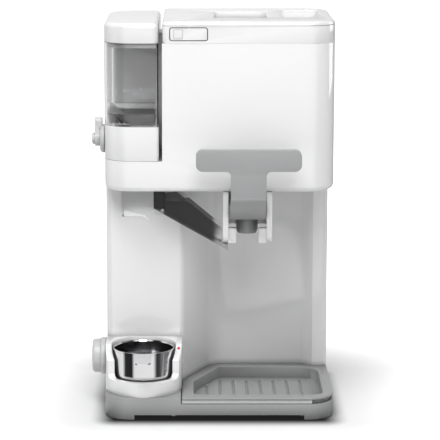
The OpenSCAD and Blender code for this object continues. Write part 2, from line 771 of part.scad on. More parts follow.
module valve_body() {
    top = seat_z;
    color(white) place() difference() {
        union() {
            translate([spout_x, spout_y, tube_z0]) cylinder(h = valve_top + 3 - tube_z0, r = tube_r);
            translate([spout_x - duct_r, spout_y, port_z - duct_r])
                cube([2 * duct_r, duct_y - spout_y, top - port_z + duct_r]);
            translate([spout_x, duct_y, port_z - duct_r]) cylinder(h = top - port_z + duct_r, r = duct_r);
        }
        translate([spout_x, spout_y, tube_z0 - cut]) cylinder(h = valve_top - tube_z0 + cut, r = valve_r);
        translate([spout_x, spout_y, port_z]) rotate([-90, 0, 0])
            cylinder(h = duct_y - spout_y, r = port_r);
        translate([spout_x, duct_y, port_z]) cylinder(h = top - port_z + cut, r = port_r);
        along_x(spout_x - tube_r - cut, spout_x + tube_r + cut)
            rounded(spout_y - 2.2, pivot_z - 2.4, spout_y + 2.2, pivot_z + lift + 2.4,
                [2.2, 2.2, 2.2, 2.2]);
    }
}

module nozzle() {
    bore = tube_r + 0.02;
    color(grey) place() translate([spout_x, spout_y, nozzle_z0]) difference() {
        union() {
            cylinder(h = 4, r1 = nozzle_r - 1.6, r2 = nozzle_r);
            translate([0, 0, 4]) cylinder(h = nozzle_h - 4, r = nozzle_r);
        }
        translate([-6.3, 0, port_z - 6.2 - nozzle_z0]) cube([12.6, 20, 20]);
        translate([0, 0, 9]) cylinder(h = nozzle_h, r = bore);
        translate([0, 0, 3]) cylinder(h = 6 + cut, r1 = 6.5, r2 = valve_r + 0.6);
        translate([0, 0, -cut]) linear_extrude(4 + 2 * cut) polygon([
            for (i = [0 : 2 * star_points - 1])
                let (r = i % 2 == 0 ? 6.3 : 3.2) [r * cos(180 / star_points * i), r * sin(180 / star_points * i)]
        ]);
    }
}

// Side outline of the handle's stem, from the cross bar down and back to the pivot
module stem_outline() {
    y0 = -finger_gap - bar_t;
    y1 = -finger_gap;
    knee = head_z - 0.5;
    difference() {
        union() {
            polygon([
                [y0, bar_z], [y0, knee + 2], [y0 + 3, knee - 5], [pivot_y - 5, pivot_z - 6.9],
                [pivot_y + 2, pivot_z + 8.2], [y1 + 3, knee - 0.5], [y1, knee + 5], [y1, bar_z]
            ]);
            translate([y0 + 6, knee + 1]) circle(6);
            translate([pivot_y, pivot_z]) circle(hub_r);
        }
        translate([pivot_y, pivot_z]) circle(pivot_r + run_gap);
    }
}

module handle() {
    half_bar = bar_w / 2;
    half_stem = stem_w / 2;
    y0 = -finger_gap - bar_t;
    fillet = 5;
    color(grey) place() {
        difference() {
            union() {
                along_y(y0, -finger_gap) union() {
                    rounded(spout_x - half_bar, bar_z - bar_h / 2, spout_x + half_bar, bar_z + bar_h / 2,
                        [7, 7, 7, 7]);
                    difference() {
                        translate([spout_x - half_stem - fillet, bar_z - bar_h / 2 - fillet])
                            square([stem_w + 2 * fillet, fillet]);
                        for (side = [-1, 1])
                            translate([spout_x + side * (half_stem + fillet), bar_z - bar_h / 2 - fillet])
                                circle(fillet);
                    }
                }
                along_x(spout_x - half_stem, spout_x + half_stem) stem_outline();
                along_x(spout_x - hub_half, spout_x + hub_half) difference() {
                    translate([pivot_y, pivot_z]) circle(hub_r);
                    translate([pivot_y, pivot_z]) circle(pivot_r + run_gap);
                }
            }
            translate([spout_x - spring_room, pivot_y, pivot_z]) rotate([0, 90, 0])
                cylinder(h = 2 * spring_room, r = spring_coil + spring_wire);
        }
        for (side = [-1, 1]) {
            inner = side * arm_in;
            along_x(spout_x + min(inner, inner + side * arm_t),
                    spout_x + max(inner, inner + side * arm_t)) fork_outline();
        }
    }
}

// One arm of the handle's fork, with the slot for the plunger's cross pin
module fork_outline() {
    difference() {
        union() {
            translate([pivot_y, pivot_z - arm_h]) square([arm_reach + 3, 2 * arm_h]);
            translate([pivot_y + arm_reach + 3, pivot_z]) circle(arm_h);
            translate([pivot_y, pivot_z]) circle(hub_r - 1);
        }
        translate([pivot_y, pivot_z]) circle(pivot_r + run_gap);
        translate([pivot_y + arm_reach - 0.5, pivot_z]) circle(slot_r);
        translate([pivot_y + arm_reach - 0.5, pivot_z - slot_r]) square([3.5, 2 * slot_r]);
        translate([pivot_y + arm_reach + 3, pivot_z]) circle(slot_r);
    }
}

module handle_pin() {
    color(steel) place() translate([spout_x - bracket_out, pivot_y, pivot_z]) rotate([0, 90, 0])
        cylinder(h = 2 * bracket_out, r = pivot_r);
}

// Closely wound torsion spring round the pivot, seated in the handle's barrel
spring_wire = 0.9;
spring_coil = 5.5;
spring_turns = 5;
spring_room = spring_wire * spring_turns + 0.3;
module handle_spring() {
    color(steel) place() translate([spout_x - spring_wire * spring_turns, pivot_y, pivot_z])
        rotate([0, 90, 0]) rotate_extrude() for (i = [0 : spring_turns - 1])
            translate([spring_coil, spring_wire * (1 + 1.96 * i)]) circle(spring_wire);
}

seal_groove = 1.2;                      // depth and half width of the plunger's seal groove
seal_z = pivot_z - 13;
module plunger() {
    color(white) place() difference() {
        translate([spout_x, spout_y, plunger_z0]) cylinder(h = plunger_z1 - plunger_z0, r = valve_r - run_gap);
        translate([spout_x, spout_y, seal_z]) rotate_extrude()
            translate([valve_r - seal_groove, -seal_groove]) square([seal_groove + cut, 2 * seal_groove]);
        translate([spout_x - valve_r - cut, spout_y, pivot_z]) rotate([0, 90, 0])
            cylinder(h = 2 * valve_r + 2 * cut, r = pin_r);
        translate([spout_x, spout_y, pivot_z + 3]) cylinder(h = 10, r = 3.4);
    }
}

module plunger_pin() {
    half = arm_in + arm_t;
    color(steel) place() translate([spout_x - half, spout_y, pivot_z]) rotate([0, 90, 0])
        cylinder(h = 2 * half, r = pin_r);
}

module plunger_seal() {
    color("black") place() translate([spout_x, spout_y, seal_z]) rotate_extrude()
        translate([valve_r - seal_groove, -seal_groove]) square([seal_groove - 0.02, 2 * seal_groove]);
}

// ---- Freezer bowl and drive ----

module freezer_bowl() {
    z1 = bowl_z + bowl_h;
    color("gainsboro") place() difference() {
        translate([bowl_x, bowl_y, 0]) rotate_extrude($fn = 96) difference() {
            rounded(0, bowl_z, bowl_r, z1, [0, 8, 3, 0]);
            rounded(-10, bowl_z + bowl_floor, bowl_in, z1 + 20, [0, 5, 0, 0]);
            translate([bowl_in - cut, z1 - 4]) square([4 + cut, 5]);
        }
        translate([bowl_x, bowl_y, bowl_z - cut]) cylinder(h = bowl_floor + 2 * cut, r = spindle_r + run_gap);
        translate([spout_x, duct_y, bowl_z - cut]) cylinder(h = bowl_floor + 2 * cut, r = port_r);
    }
}

module bowl_gasket() {
    z1 = bowl_z + bowl_h;
    color("gray") place() translate([bowl_x, bowl_y, 0]) rotate_extrude($fn = 96)
        rounded(bowl_in, z1 - 4, bowl_in + 4, z1 - 0.5, [0, 0, 1, 1]);
}

module paddle() {
    z0 = bowl_z + bowl_floor + 0.8;
    z1 = bowl_z + bowl_h - 7;
    reach = bowl_in - 1.2;
    bar = 4;
    color(white) place() translate([bowl_x, bowl_y, 0]) difference() {
        union() {
            translate([0, 0, z0]) cylinder(h = 42, r = 9);
            translate([0, 0, z0 + 42]) cylinder(h = 40, r1 = 9, r2 = 4);
            for (side = [0, 180]) rotate(side) {
                translate([reach - 9, -bar / 2, z0 + 4]) cube([9, bar, z1 - z0 - 4]);
                translate([0, -bar / 2, z0]) cube([reach - 6, bar, 8]);
                translate([0, -bar / 2, z0 + 34]) cube([reach - 3, bar, 7]);
                translate([0, -bar / 2, z1 - 7]) cube([reach - 3, bar, 7]);
                translate([reach - 34, -1.2, z0 + 6]) cube([26, 2.4, 29]);
            }
            translate([0, 0, z1 - 12]) cylinder(h = 12, r = 6);
        }
        translate([0, 0, z0 - cut]) cylinder(h = 30, r = spindle_r + 0.5);
    }
}

module spindle() {
    color(steel) place() translate([bowl_x, bowl_y, floor_top + 0.5]) {
        cylinder(h = bowl_z + bowl_floor + 26 - floor_top, r = spindle_r);
    }
}

module final_gear() {
    color("ivory") place() translate([bowl_x, bowl_y, final_z])
        rotate(mesh_turn(gear_x - bowl_x, gear_y - bowl_y, wheel_teeth, 0)) difference() {
        union() {
            linear_extrude(gear_t) gear_outline(final_module, wheel_teeth, 0);
            cylinder(h = gear_t + 1, r = spindle_r + 5);
        }
        translate([0, 0, -cut]) cylinder(h = gear_t + 3, r = spindle_r);
        translate([0, 0, gear_t - 2.5]) difference() {
            cylinder(h = 5, r = final_module * wheel_teeth / 2 - 5);
            translate([0, 0, -cut]) cylinder(h = 8, r = spindle_r + 5);
        }
    }
}

module compound_gear() {
    color("ivory") place() translate([gear_x, gear_y, 0]) difference() {
        union() {
            translate([0, 0, first_z]) rotate(mesh_turn(bowl_x - gear_x, motor_y - gear_y, wheel_teeth, 0))
                linear_extrude(wheel_t) gear_outline(first_module, wheel_teeth, 0);
            translate([0, 0, first_z + wheel_t - 0.01])
                rotate(mesh_turn(bowl_x - gear_x, bowl_y - gear_y, pinion_teeth, 1))
                linear_extrude(final_top - first_z - wheel_t + 0.01)
                gear_outline(final_module, pinion_teeth, backlash * 3);
        }
        translate([0, 0, first_z - cut])
            cylinder(h = final_top - first_z + 2 * cut, r = axle_r + run_gap);
    }
}

// Turn that brings a tooth (phase 0) or a gap (phase 1) onto the line towards (dx, dy)
function mesh_turn(dx, dy, teeth, phase) = atan2(dy, dx) + phase * 180 / teeth;

module gear_axle() {
    color(steel) place() translate([gear_x, gear_y, floor_top])
        cylinder(h = cover_z - floor_top, r = axle_r);
}

module gear_cover() {
    color("whitesmoke") place() {
        difference() {
            union() {
                translate([bowl_x, bowl_y, cover_z]) cylinder(h = cover_t, r = bowl_r - 2);
                slab(cover_z, cover_z + cover_t)
                    rounded(bowl_x - 34, bowl_y, bowl_x + 34, head_d - wall - 1, [0, 0, 10, 10]);
                translate([bowl_x, bowl_y, cover_z + cover_t]) difference() {
                    cylinder(h = seat_z - cover_z - cover_t, r = bowl_r - 8);
                    translate([0, 0, -cut]) cylinder(h = 10, r = bowl_r - 14);
                }
                for (side = [-1, 1], y = [bowl_y - 12, bowl_y + 24])
                    translate([bowl_x + side * (bowl_r - 12), y, floor_top])
                        cylinder(h = cover_z - floor_top, r = 4.5);
            }
            translate([bowl_x, bowl_y, cover_z - cut]) cylinder(h = cover_t + 2 * cut, r = spindle_r + run_gap);
            translate([spout_x, spout_y, cover_z - cut]) cylinder(h = cover_t + 2 * cut, r = tube_r + 0.3);
            translate([spout_x - 6.3, spout_y, cover_z - cut])
                cube([12.6, duct_y - spout_y, cover_t + 2 * cut]);
            translate([spout_x, duct_y, cover_z - cut]) cylinder(h = cover_t + 2 * cut, r = 6.3);
        }
    }
}

module motor_body() {
    color("dimgray") place() translate([bowl_x, motor_y, 0]) {
        difference() {
            union() {
                translate([0, 0, motor_top - motor_h]) cylinder(h = motor_h - 8, r = motor_r);
                translate([0, 0, motor_top - 8]) cylinder(h = 9, r = 7);
                translate([0, 0, motor_top - motor_h - 5]) cylinder(h = 5, r = 8);
                translate([-motor_r - 4, -6, motor_top - 12]) cube([2 * motor_r + 8, 12, 4]);
                for (side = [-1, 1])
                    translate([side * (motor_r + 1), 0, motor_top - 8]) cylinder(h = 9, r = 2.6);
            }
            translate([0, 0, motor_top - 30]) cylinder(h = 40, r = axle_r + run_gap);
        }
    }
}

module motor_shaft() {
    color(steel) place() translate([bowl_x, motor_y, motor_top - 29.5])
        cylinder(h = first_z + pinion_t + 1 - motor_top + 29.5, r = axle_r);
}

module motor_pinion() {
    color("goldenrod") place() translate([bowl_x, motor_y, first_z - 0.4])
        rotate(mesh_turn(gear_x - bowl_x, gear_y - motor_y, pinion_teeth, 1)) difference() {
            linear_extrude(pinion_t) gear_outline(first_module, pinion_teeth, backlash * 3);
            translate([0, 0, -cut]) cylinder(h = pinion_t + 2 * cut, r = axle_r);
        }
}

// ---- Column ----

// Plan of the column, drawn in by inset
module column_plan(inset) {
    pr = panel_r - inset;
    nr = niche_r + inset;
    br = head_r - inset;
    x0 = -half_w + inset;
    x1 = half_w - inset;
    pilaster = pilaster_y + inset;
    wall_y = niche_y + inset;
    overlap = 0.02;                     // the arcs at the slanted wall cross it by this much
    pr_s = pr - overlap;
    nr_s = nr - overlap;
    difference() {
        union() {
            polygon([
                [x0, panel_y + panel_r], [-half_w + panel_r, panel_y + inset],
                [panel_corner[0], panel_y + inset],
                [panel_corner[0] + pr_s * slant_s, panel_corner[1] - pr_s * slant_c],
                [niche_corner[0] - nr_s * slant_s, niche_corner[1] + nr_s * slant_c],
                [niche_corner[0], wall_y],
                [step_sum + inset * sqrt(2) - wall_y, wall_y],
                [step_sum + inset * sqrt(2) - pilaster, pilaster],
                [half_w - panel_r, pilaster], [x1, pilaster_y + panel_r],
                [x1, head_d - head_r], [half_w - head_r, head_d - inset],
                [-half_w + head_r, head_d - inset], [x0, head_d - head_r]
            ]);
            sector([-half_w + panel_r, panel_y + panel_r], pr, 180, 270);
            sector(panel_corner, pr, -90, niche_slant - 78);
            sector([half_w - panel_r, pilaster_y + panel_r], pr, -90, 0);
            sector([half_w - head_r, head_d - head_r], br, 0, 90);
            sector([-half_w + head_r, head_d - head_r], br, 90, 180);
        }
        sector(niche_corner, nr, 90, niche_slant + 98);
    }
}

rear_z0 = base_h + 16;                  // opening behind the rear cover
rear_z1 = head_z - 16;
rebate = 9;                             // ledge round the opening
cover_clear = 0.4;
rear_spots = [
    for (x = [-1, 1], z = [rear_z0 + 20, rear_z1 - 20]) [x * (rear_open_w / 2 + rebate / 2), z]
];
module column_shell() {
    color(white) place() {
        difference() {
            union() {
                difference() {
                    slab(base_h, head_z) column_plan(0);
                    slab(base_h + wall, head_z + cut) column_plan(wall);
                }
                for (p = rear_spots) translate([p[0], head_d - wall - 8, p[1]]) rotate([-90, 0, 0])
                    cylinder(h = 8.1, r = 4);
            }
            translate([-rear_open_w / 2, head_d - wall - cut, rear_z0])
                cube([rear_open_w, wall + 2 * cut, rear_z1 - rear_z0]);
            translate([-rear_open_w / 2 - rebate, head_d - cover_skin, rear_z0 - rebate])
                cube([rear_open_w + 2 * rebate, cover_skin + cut, rear_z1 - rear_z0 + 2 * rebate]);
            for (p = rear_spots) translate([p[0], head_d - wall - 8, p[1]]) rotate([-90, 0, 0])
                cylinder(h = 20, r = 1.7);
            translate([-half_w + 40, head_d - 30, base_h - cut]) cylinder(h = wall + 2 * cut, r = 7);
        }
    }
}

// Rear cover: a plate in the column's rebate with two fields of vent slots
gland_x = -60;
gland_z = base_h + 30;
gland_r = 6;                            // hole in the cover for the gland
cord_r = 3.5;                           // bore of the gland
slot_rows = 7;
module rear_cover() {
    y0 = head_d - cover_skin;
    edge = rebate - cover_clear;
    color(white) place() difference() {
        union() {
            translate([-rear_open_w / 2 - edge, y0, rear_z0 - edge])
                cube([rear_open_w + 2 * edge, cover_skin, rear_z1 - rear_z0 + 2 * edge]);
            translate([-rear_open_w / 2 + cover_clear, y0 - cover_rib, rear_z0 + cover_clear])
                cube([rear_open_w - 2 * cover_clear, cover_rib, rear_z1 - rear_z0 - 2 * cover_clear]);
        }
        for (x = [-1, 1], i = [0 : slot_rows - 1])
            along_y(y0 - 3, head_d + cut) rounded(x * 42 - 27, rear_z1 - 72 + 9 * i,
                x * 42 + 27, rear_z1 - 68 + 9 * i, [1.9, 1.9, 1.9, 1.9]);
        for (p = rear_spots) translate([p[0], y0 - cut, p[1]]) rotate([-90, 0, 0])
            cylinder(h = cover_skin + 2 * cut, r = 1.7);
        translate([gland_x, y0 - 3, gland_z]) rotate([-90, 0, 0]) cylinder(h = 6, r = gland_r);
    }
}

module rear_screws() {
    color(steel) place() for (p = rear_spots)
        translate([p[0], head_d, p[1]]) rotate([-90, 0, 0]) pan_screw(3.6, 1.7, 9);
}

module cord_gland() {
    plate = cover_skin + cover_rib;
    color("black") place() translate([gland_x, head_d - plate, gland_z]) rotate([-90, 0, 0])
        rotate_extrude() {
            translate([cord_r, -2]) square([gland_r - cord_r, plate + 2]);
            translate([cord_r, plate]) square([gland_r + 3 - cord_r, gland_out]);
            translate([cord_r, -2]) square([gland_r + 2.5 - cord_r, 2]);
        }
}

module control_board() {
    x0 = -half_w + 36;
    z0 = head_z - 100;
    board_w = 60;
    board_h = 60;
    stand = 15;
    back = head_d - cover_skin - cover_rib;
    color("darkgreen") place() {
        translate([x0, back - stand - 1.6, z0]) cube([board_w, 1.6, board_h]);
        for (i = [0 : 2]) translate([x0 + 6 + 18 * i, back - stand - 10, z0 + 20]) cube([12, 8.5, 16]);
        for (x = [x0 + 1, x0 + board_w - 5], z = [z0 + 1, z0 + board_h - 5])
            translate([x, back - stand - 0.1, z]) cube([4, stand + 0.1, 4]);
    }
}

// ---- Base ----

module base_plan(inset) {
    rounded(-half_w + inset, -base_out + inset, half_w - inset, head_d - inset,
        [base_r - inset, base_r - inset, head_r - inset, head_r - inset]);
}

// Part of the base in front of the column's niche, where the tray lies
module bay_plan(x0, clear_of_wall) {
    difference() {
        translate([x0, -base_out - cut]) square([body_w, niche_y + base_out + 2 * cut]);
        column_plan(-clear_of_wall);
    }
}

// Plan of the tray's basin, grown by grow
module basin_plan(grow) {
    run = (basin_y1 - basin_slant_y) * slant_c / slant_s;
    difference() {
        rounded(basin_x0 - grow, basin_y0 - grow, basin_x1 + grow, basin_y1 + grow,
            [8 + grow, 12 + grow, 22 + grow, 1]);
        polygon([
            [basin_x0 - grow - cut, basin_slant_y + grow / 3 - cut * slant_s / slant_c],
            [basin_x0 - grow + run + cut, basin_y1 + grow + (cut + grow / 3) * slant_s / slant_c],
            [basin_x0 - grow - cut, basin_y1 + 2 * grow + 3 * cut]
        ]);
    }
}

screw_spots = [
    [16 - half_w, 20], [slant_x - 8, 7 - base_out], [half_w - 32, 7 - base_out],
    [20 - half_w, head_d - 27], [0, head_d - 27], [half_w - 20, head_d - 27]
];
module base_frame() {
    z0 = 1.2;
    skin = 2.5;
    color(grey) place() difference() {
        slab(z0, base_h) base_plan(0);
        slab(bay_z, base_h + cut) bay_plan(bay_x, 0);
        slab(well_floor, base_h + cut) basin_plan(basin_wall + 1);
        difference() {
            slab(z0 - cut, base_h - skin) base_plan(wall);
            slab(bay_z - skin, base_h) bay_plan(bay_x - wall, 0);
            slab(well_floor - 1.4, base_h) basin_plan(basin_wall + wall);
            for (p = screw_spots) translate([p[0], p[1], foot_h + 1.6]) cylinder(h = base_h, r = 3.3);
        }
        for (p = screw_spots) translate([p[0], p[1], z0]) cylinder(h = foot_h + 9 - z0, r = 1.8);
        translate([-89, -base_out - cut, z0 - cut]) cube([178, wall + 2 * cut, scallop_h - z0 + cut]);
        translate([-89, head_d - wall - cut, z0 - cut]) cube([178, wall + 2 * cut, scallop_h - z0 + cut]);
        for (x = [-half_w - cut, half_w - wall - cut])
            translate([x, 8, z0 - cut]) cube([wall + 2 * cut, 128, scallop_h - z0 + cut]);
        translate([-half_w + 40, head_d - 30, z0]) cylinder(h = base_h, r = 7);
    }
}

module base_plate() {
    color(dark) place() difference() {
        slab(foot_h - 0.4, foot_h + 1.6) base_plan(wall + 0.4);
        for (p = screw_spots) translate([p[0], p[1], 0]) cylinder(h = 20, r = 1.8);
        for (x = [-60, 60], i = [0 : 5])
            slab(foot_h - cut, foot_h + 2) rounded(x - 22, 84 + 9 * i, x + 22, 87 + 9 * i, [1.4, 1.4, 1.4, 1.4]);
    }
}

module base_screws() {
    color(steel) place() for (p = screw_spots)
        translate([p[0], p[1], foot_h - 0.4]) rotate([180, 0, 0]) pan_screw(3.2, 1.8, 9);
}

module rubber_feet() {
    color("black") place() for (side = [-1, 1], y = [40.5 - base_out, head_d - 43])
        translate([side * (half_w - 38), y, 0]) rotate_extrude()
            rounded(0, 0, foot_r, foot_h - 0.4, [0, 1.2, 0, 0]);
}

module drip_tray() {
    skirt_in = 3;
    color(grey) place() difference() {
        union() {
            slab(base_h - rim_t, base_h) tray_plan(0);
            slab(bay_z + part_gap, base_h - rim_t) tray_plan(skirt_in);
            slab(basin_bottom, base_h - rim_t) basin_plan(basin_wall);
        }
        difference() {
            slab(bay_z, base_h - rim_t - 1.6) tray_plan(skirt_in + 2);
            slab(basin_bottom - cut, base_h) basin_plan(basin_wall);
        }
        slab(basin_z, base_h + cut) basin_plan(0);
        for (i = [0 : floor((basin_x1 - basin_x0 - 26) / groove_pitch)]) {
            x = basin_x0 + 14 + groove_pitch * i;
            y1 = min(basin_y1 - 12, basin_slant_y - 4 + (x - basin_x0) * slant_s / slant_c);
            translate([x - groove_w / 2, basin_y0 + 6, basin_z - 1.2])
                cube([groove_w, y1 - basin_y0 - 6, 1.2 + cut]);
        }
    }
}

// Plan of the tray, following the front of the base and the walls of the niche
module tray_plan(inset) {
    intersection() {
        base_plan(inset);
        bay_plan(tray_x + inset, tray_gap + inset);
    }
}

// ---- Cup warmer ----

// Side outline of the space above the ring's low front wall, its upright sides and sloped shoulders
module ring_sweep() {
    low = base_h + ring_low_h;
    high = base_h + ring_high_h;
    r = min(6, (high - low) / 4);
    riser = ring_y - 0.44 * (cup_r + 1.5);
    front = ring_y - ring_r - 10;
    knee = low + (high - low) * 0.56;
    difference() {
        polygon([
            [front, high + 10], [front, low], [riser, low], [riser, knee],
            [riser + high - knee, high], [riser + high - knee, high + 10]
        ]);
        difference() {
            translate([riser - r, low - cut]) square([r + cut, r + cut]);
            translate([riser - r, low + r]) circle(r);
        }
    }
}

module warmer_holder() {
    color(white) place() difference() {
        slab(base_h, base_h + ring_high_h) difference() {
            rounded(ring_x - ring_r, ring_y - ring_r, ring_x + ring_r, panel_y + panel_r,
                [ring_r, ring_r, 0, 0]);
            column_plan(0);
        }
        along_x(-half_w - cut, slant_x + cut) ring_sweep();
        translate([ring_x, ring_y, plate_top - 2]) cylinder(h = 80, r = cup_r + 1.5);
        translate([ring_x, ring_y, base_h - cut]) cylinder(h = 9 + cut, r = cup_r - 5);
        translate([-half_w - cut, dial_y, dial_z]) rotate([0, 90, 0])
            cylinder(h = 6, r = dial_shaft_r + run_gap);
        translate([-half_w + wall, dial_y - 6, dial_z - 10]) cube([8.5, 14 + cut, 20]);
        translate([slant_x - 3.2, ring_y - 4, base_h + ring_high_h - 5.6]) cylinder(h = 5, r = 1.5);
    }
}

module warmer_plate() {
    color(steel) place() translate([ring_x, ring_y, 0]) rotate_extrude()
        rounded(0, plate_top - 2, cup_r + 0.4, plate_top, [0, 0, 0.8, 0]);
}

module warmer_cup() {
    top = cup_z0 + cup_h;
    color(steel) place() {
        difference() {
            translate([ring_x, ring_y, 0]) {
                translate([0, 0, cup_z0]) cylinder(h = 1.5, r1 = cup_base_r - 1.5, r2 = cup_base_r);
                translate([0, 0, cup_z0 + 1.5]) cylinder(h = cup_h - 2.5, r1 = cup_base_r, r2 = cup_r - 0.5);
                translate([0, 0, top - 1]) cylinder(h = 1, r = cup_r);
            }
            translate([ring_x, ring_y, cup_z0 + cup_wall])
                cylinder(h = 1.5, r1 = cup_base_r - 1.5 - cup_wall, r2 = cup_base_r - cup_wall);
            translate([ring_x, ring_y, cup_z0 + cup_wall + 1.49])
                cylinder(h = cup_h, r1 = cup_base_r - cup_wall, r2 = cup_r - cup_wall - 0.4);
            translate([ring_x, ring_y, top - 1.5])
                cylinder(h = 1.5 + cut, r1 = cup_r - cup_wall - 0.6, r2 = cup_r - 0.35);
        }
        cup_tab(top);
    }
}

// Tab handle of the cup: a bent strip from the rim, its far end rounded
module cup_tab(top) {
    rim_y = ring_y - cup_r + 0.5;
    tip_y = rim_y - tab_l;
    t = 1.4;
    intersection() {
        along_x(ring_x - tab_w / 2, ring_x + tab_w / 2) polygon([
            [rim_y + 0.3, top], [rim_y + 0.3, top - t], [rim_y - 8, top - t - 0.4],
            [tip_y, top - t - 2.6], [tip_y, top - 2.6], [rim_y - 8, top - 0.4]
        ]);
        slab(top - 10, top + 10)
            rounded(ring_x - tab_w / 2, tip_y, ring_x + tab_w / 2, rim_y + 1, [5, 5, 0, 0]);
    }
}

module warmer_dial() {
    x0 = -half_w - part_gap;
    color(grey) place() {
        translate([x0, dial_y, dial_z]) rotate([0, -90, 0]) rotate_extrude($fn = 96) {
            rounded(0, 0, dial_r + 2, 6, [0, 1, 2, 0]);
            rounded(0, 0, dial_r, dial_out - part_gap, [0, 0, 3, 0]);
        }
        translate([x0 - 1, dial_y, dial_z]) rotate([0, 90, 0]) cylinder(h = 1 + part_gap + 5, r = dial_shaft_r);
    }
}

module warmer_switch() {
    color("black") place() difference() {
        translate([-half_w + wall, dial_y - 5, dial_z - 9]) cube([8, panel_y - dial_y + 5, 18]);
        translate([-half_w, dial_y, dial_z]) rotate([0, 90, 0])
            cylinder(h = 9.4, r = dial_shaft_r + run_gap);
    }
}

module indicator_lens() {
    color("red") place() translate([slant_x - 3.2, ring_y - 4, base_h + ring_high_h - 5.6])
        cylinder(h = 2.4, r = 1.5);
}

main_housing();
top_collar();
lid();
power_rocker();
rocker_bezel();
rocker_switch();
condiment_cap();
condiment_hopper();
hopper_funnel();
condiment_base();
condiment_rotor();
condiment_knob();
chute_socket();
condiment_chute();
spout_bracket();
valve_body();
nozzle();
handle();
handle_pin();
handle_spring();
plunger();
plunger_pin();
plunger_seal();
freezer_bowl();
bowl_gasket();
paddle();
spindle();
final_gear();
compound_gear();
gear_axle();
gear_cover();
motor_body();
motor_shaft();
motor_pinion();
column_shell();
rear_cover();
rear_screws();
control_board();
cord_gland();
base_frame();
base_plate();
base_screws();
rubber_feet();
drip_tray();
warmer_holder();
warmer_plate();
warmer_cup();
warmer_dial();
warmer_switch();
indicator_lens();
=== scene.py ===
# %% [markdown]
# # A soft-serve ice cream maker, dressed for its picture
# The solids of the machine arrive finished and in place. This lesson gives them their finishes, rounds the
# edges that catch light, adds what is too fine for the solids, and sets up a small white studio.

# %% Load the solids
import json
import math

import bmesh
import bpy
from mathutils import Euler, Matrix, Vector

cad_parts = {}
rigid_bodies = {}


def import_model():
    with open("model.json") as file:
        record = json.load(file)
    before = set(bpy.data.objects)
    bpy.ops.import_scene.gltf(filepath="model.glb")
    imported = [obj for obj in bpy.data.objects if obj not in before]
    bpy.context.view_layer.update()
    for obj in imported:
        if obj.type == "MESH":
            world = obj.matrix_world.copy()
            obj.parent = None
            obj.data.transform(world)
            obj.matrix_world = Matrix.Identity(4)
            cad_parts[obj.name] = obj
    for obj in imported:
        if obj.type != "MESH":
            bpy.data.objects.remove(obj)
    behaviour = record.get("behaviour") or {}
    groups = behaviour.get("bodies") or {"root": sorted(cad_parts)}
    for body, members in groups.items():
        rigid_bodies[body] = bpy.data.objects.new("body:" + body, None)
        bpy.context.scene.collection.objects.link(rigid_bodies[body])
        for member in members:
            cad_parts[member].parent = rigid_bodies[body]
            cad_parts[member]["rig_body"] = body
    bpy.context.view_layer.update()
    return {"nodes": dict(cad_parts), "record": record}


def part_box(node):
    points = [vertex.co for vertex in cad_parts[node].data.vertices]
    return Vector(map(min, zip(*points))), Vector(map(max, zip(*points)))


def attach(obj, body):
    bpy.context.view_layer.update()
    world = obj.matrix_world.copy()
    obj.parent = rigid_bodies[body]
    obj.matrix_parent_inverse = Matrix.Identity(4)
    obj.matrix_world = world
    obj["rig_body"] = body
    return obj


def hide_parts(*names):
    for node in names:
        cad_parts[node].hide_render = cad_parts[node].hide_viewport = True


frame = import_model()
nodes = frame["nodes"]

# %% [markdown]
# The machine is drawn in millimetres from three plain places: the middle of its width, the front face of its
# head and the table. Blender works in metres from the middle of the footprint. One small function turns the
# first into the second, so every size below can be read off the real object with a ruler.

# %% A ruler
HEAD_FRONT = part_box("main_housing")[0].y
MIDDLE = (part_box("main_housing")[0].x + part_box("main_housing")[1].x) / 2


def at(x, y, z):
    """A place in millimetres, from the body's middle, the head's front face and the table."""
    return Vector((MIDDLE + x / 1000, HEAD_FRONT + y / 1000, z / 1000))


print("head front face at y =", round(HEAD_FRONT, 4), "m")

# %% [markdown]
# ## The studio
# A product on white stands on a sheet that runs far behind it. The sheet here is a plain matt plane. To let it
# come out white without burning the machine, it adds a little light of its own, but only to rays that come
# straight from the camera or through glass. What falls on it as shadow still shows. Glossy plastic and metal
# see a ring of pale and dark cards instead, which gives their edges a line to mirror.

# %% Floor and world
scene = bpy.context.scene
scene.view_settings.view_transform = "Standard"


def new_material(name):
    """An empty node material and its tree."""
    material = bpy.data.materials.new(name)
    material.use_nodes = True
    material.node_tree.nodes.clear()
    return material, material.node_tree


def seen_directly(tree):
    """One for rays from the camera or through glass, and zero for the rest."""
    path = tree.nodes.new("ShaderNodeLightPath")
    either = tree.nodes.new("ShaderNodeMath")
    either.operation = "MAXIMUM"
    tree.links.new(path.outputs["Is Camera Ray"], either.inputs[0])
    tree.links.new(path.outputs["Is Transmission Ray"], either.inputs[1])
    return either.outputs[0]


def away_from(tree, corners, near, far):
    """Zero within near metres of a box's footprint, growing to one at far metres from it."""
    low, high = (Vector(corner) for corner in corners)
    place = tree.nodes.new("ShaderNodeTexCoord")
    steps = []
    for operation, value in (("SUBTRACT", (low + high) / 2), ("ABSOLUTE", None),
                             ("SUBTRACT", (high - low) / 2), ("MAXIMUM", (0, 0, 0)),
                             ("MULTIPLY", (1, 1, 0)), ("LENGTH", None)):
        step = tree.nodes.new("ShaderNodeVectorMath")
        step.operation = operation
        if value is not None:
            step.inputs[1].default_value = value
        steps.append(step)
    tree.links.new(place.outputs["Object"], steps[0].inputs[0])
    for one, two in zip(steps, steps[1:]):
        tree.links.new(one.outputs["Vector"], two.inputs[0])
    ramp = tree.nodes.new("ShaderNodeMapRange")
    ramp.interpolation_type = "SMOOTHSTEP"
    ramp.inputs["From Min"].default_value = near
    ramp.inputs["From Max"].default_value = far
    tree.links.new(steps[-1].outputs["Value"], ramp.inputs["Value"])
    return ramp.outputs["Result"]


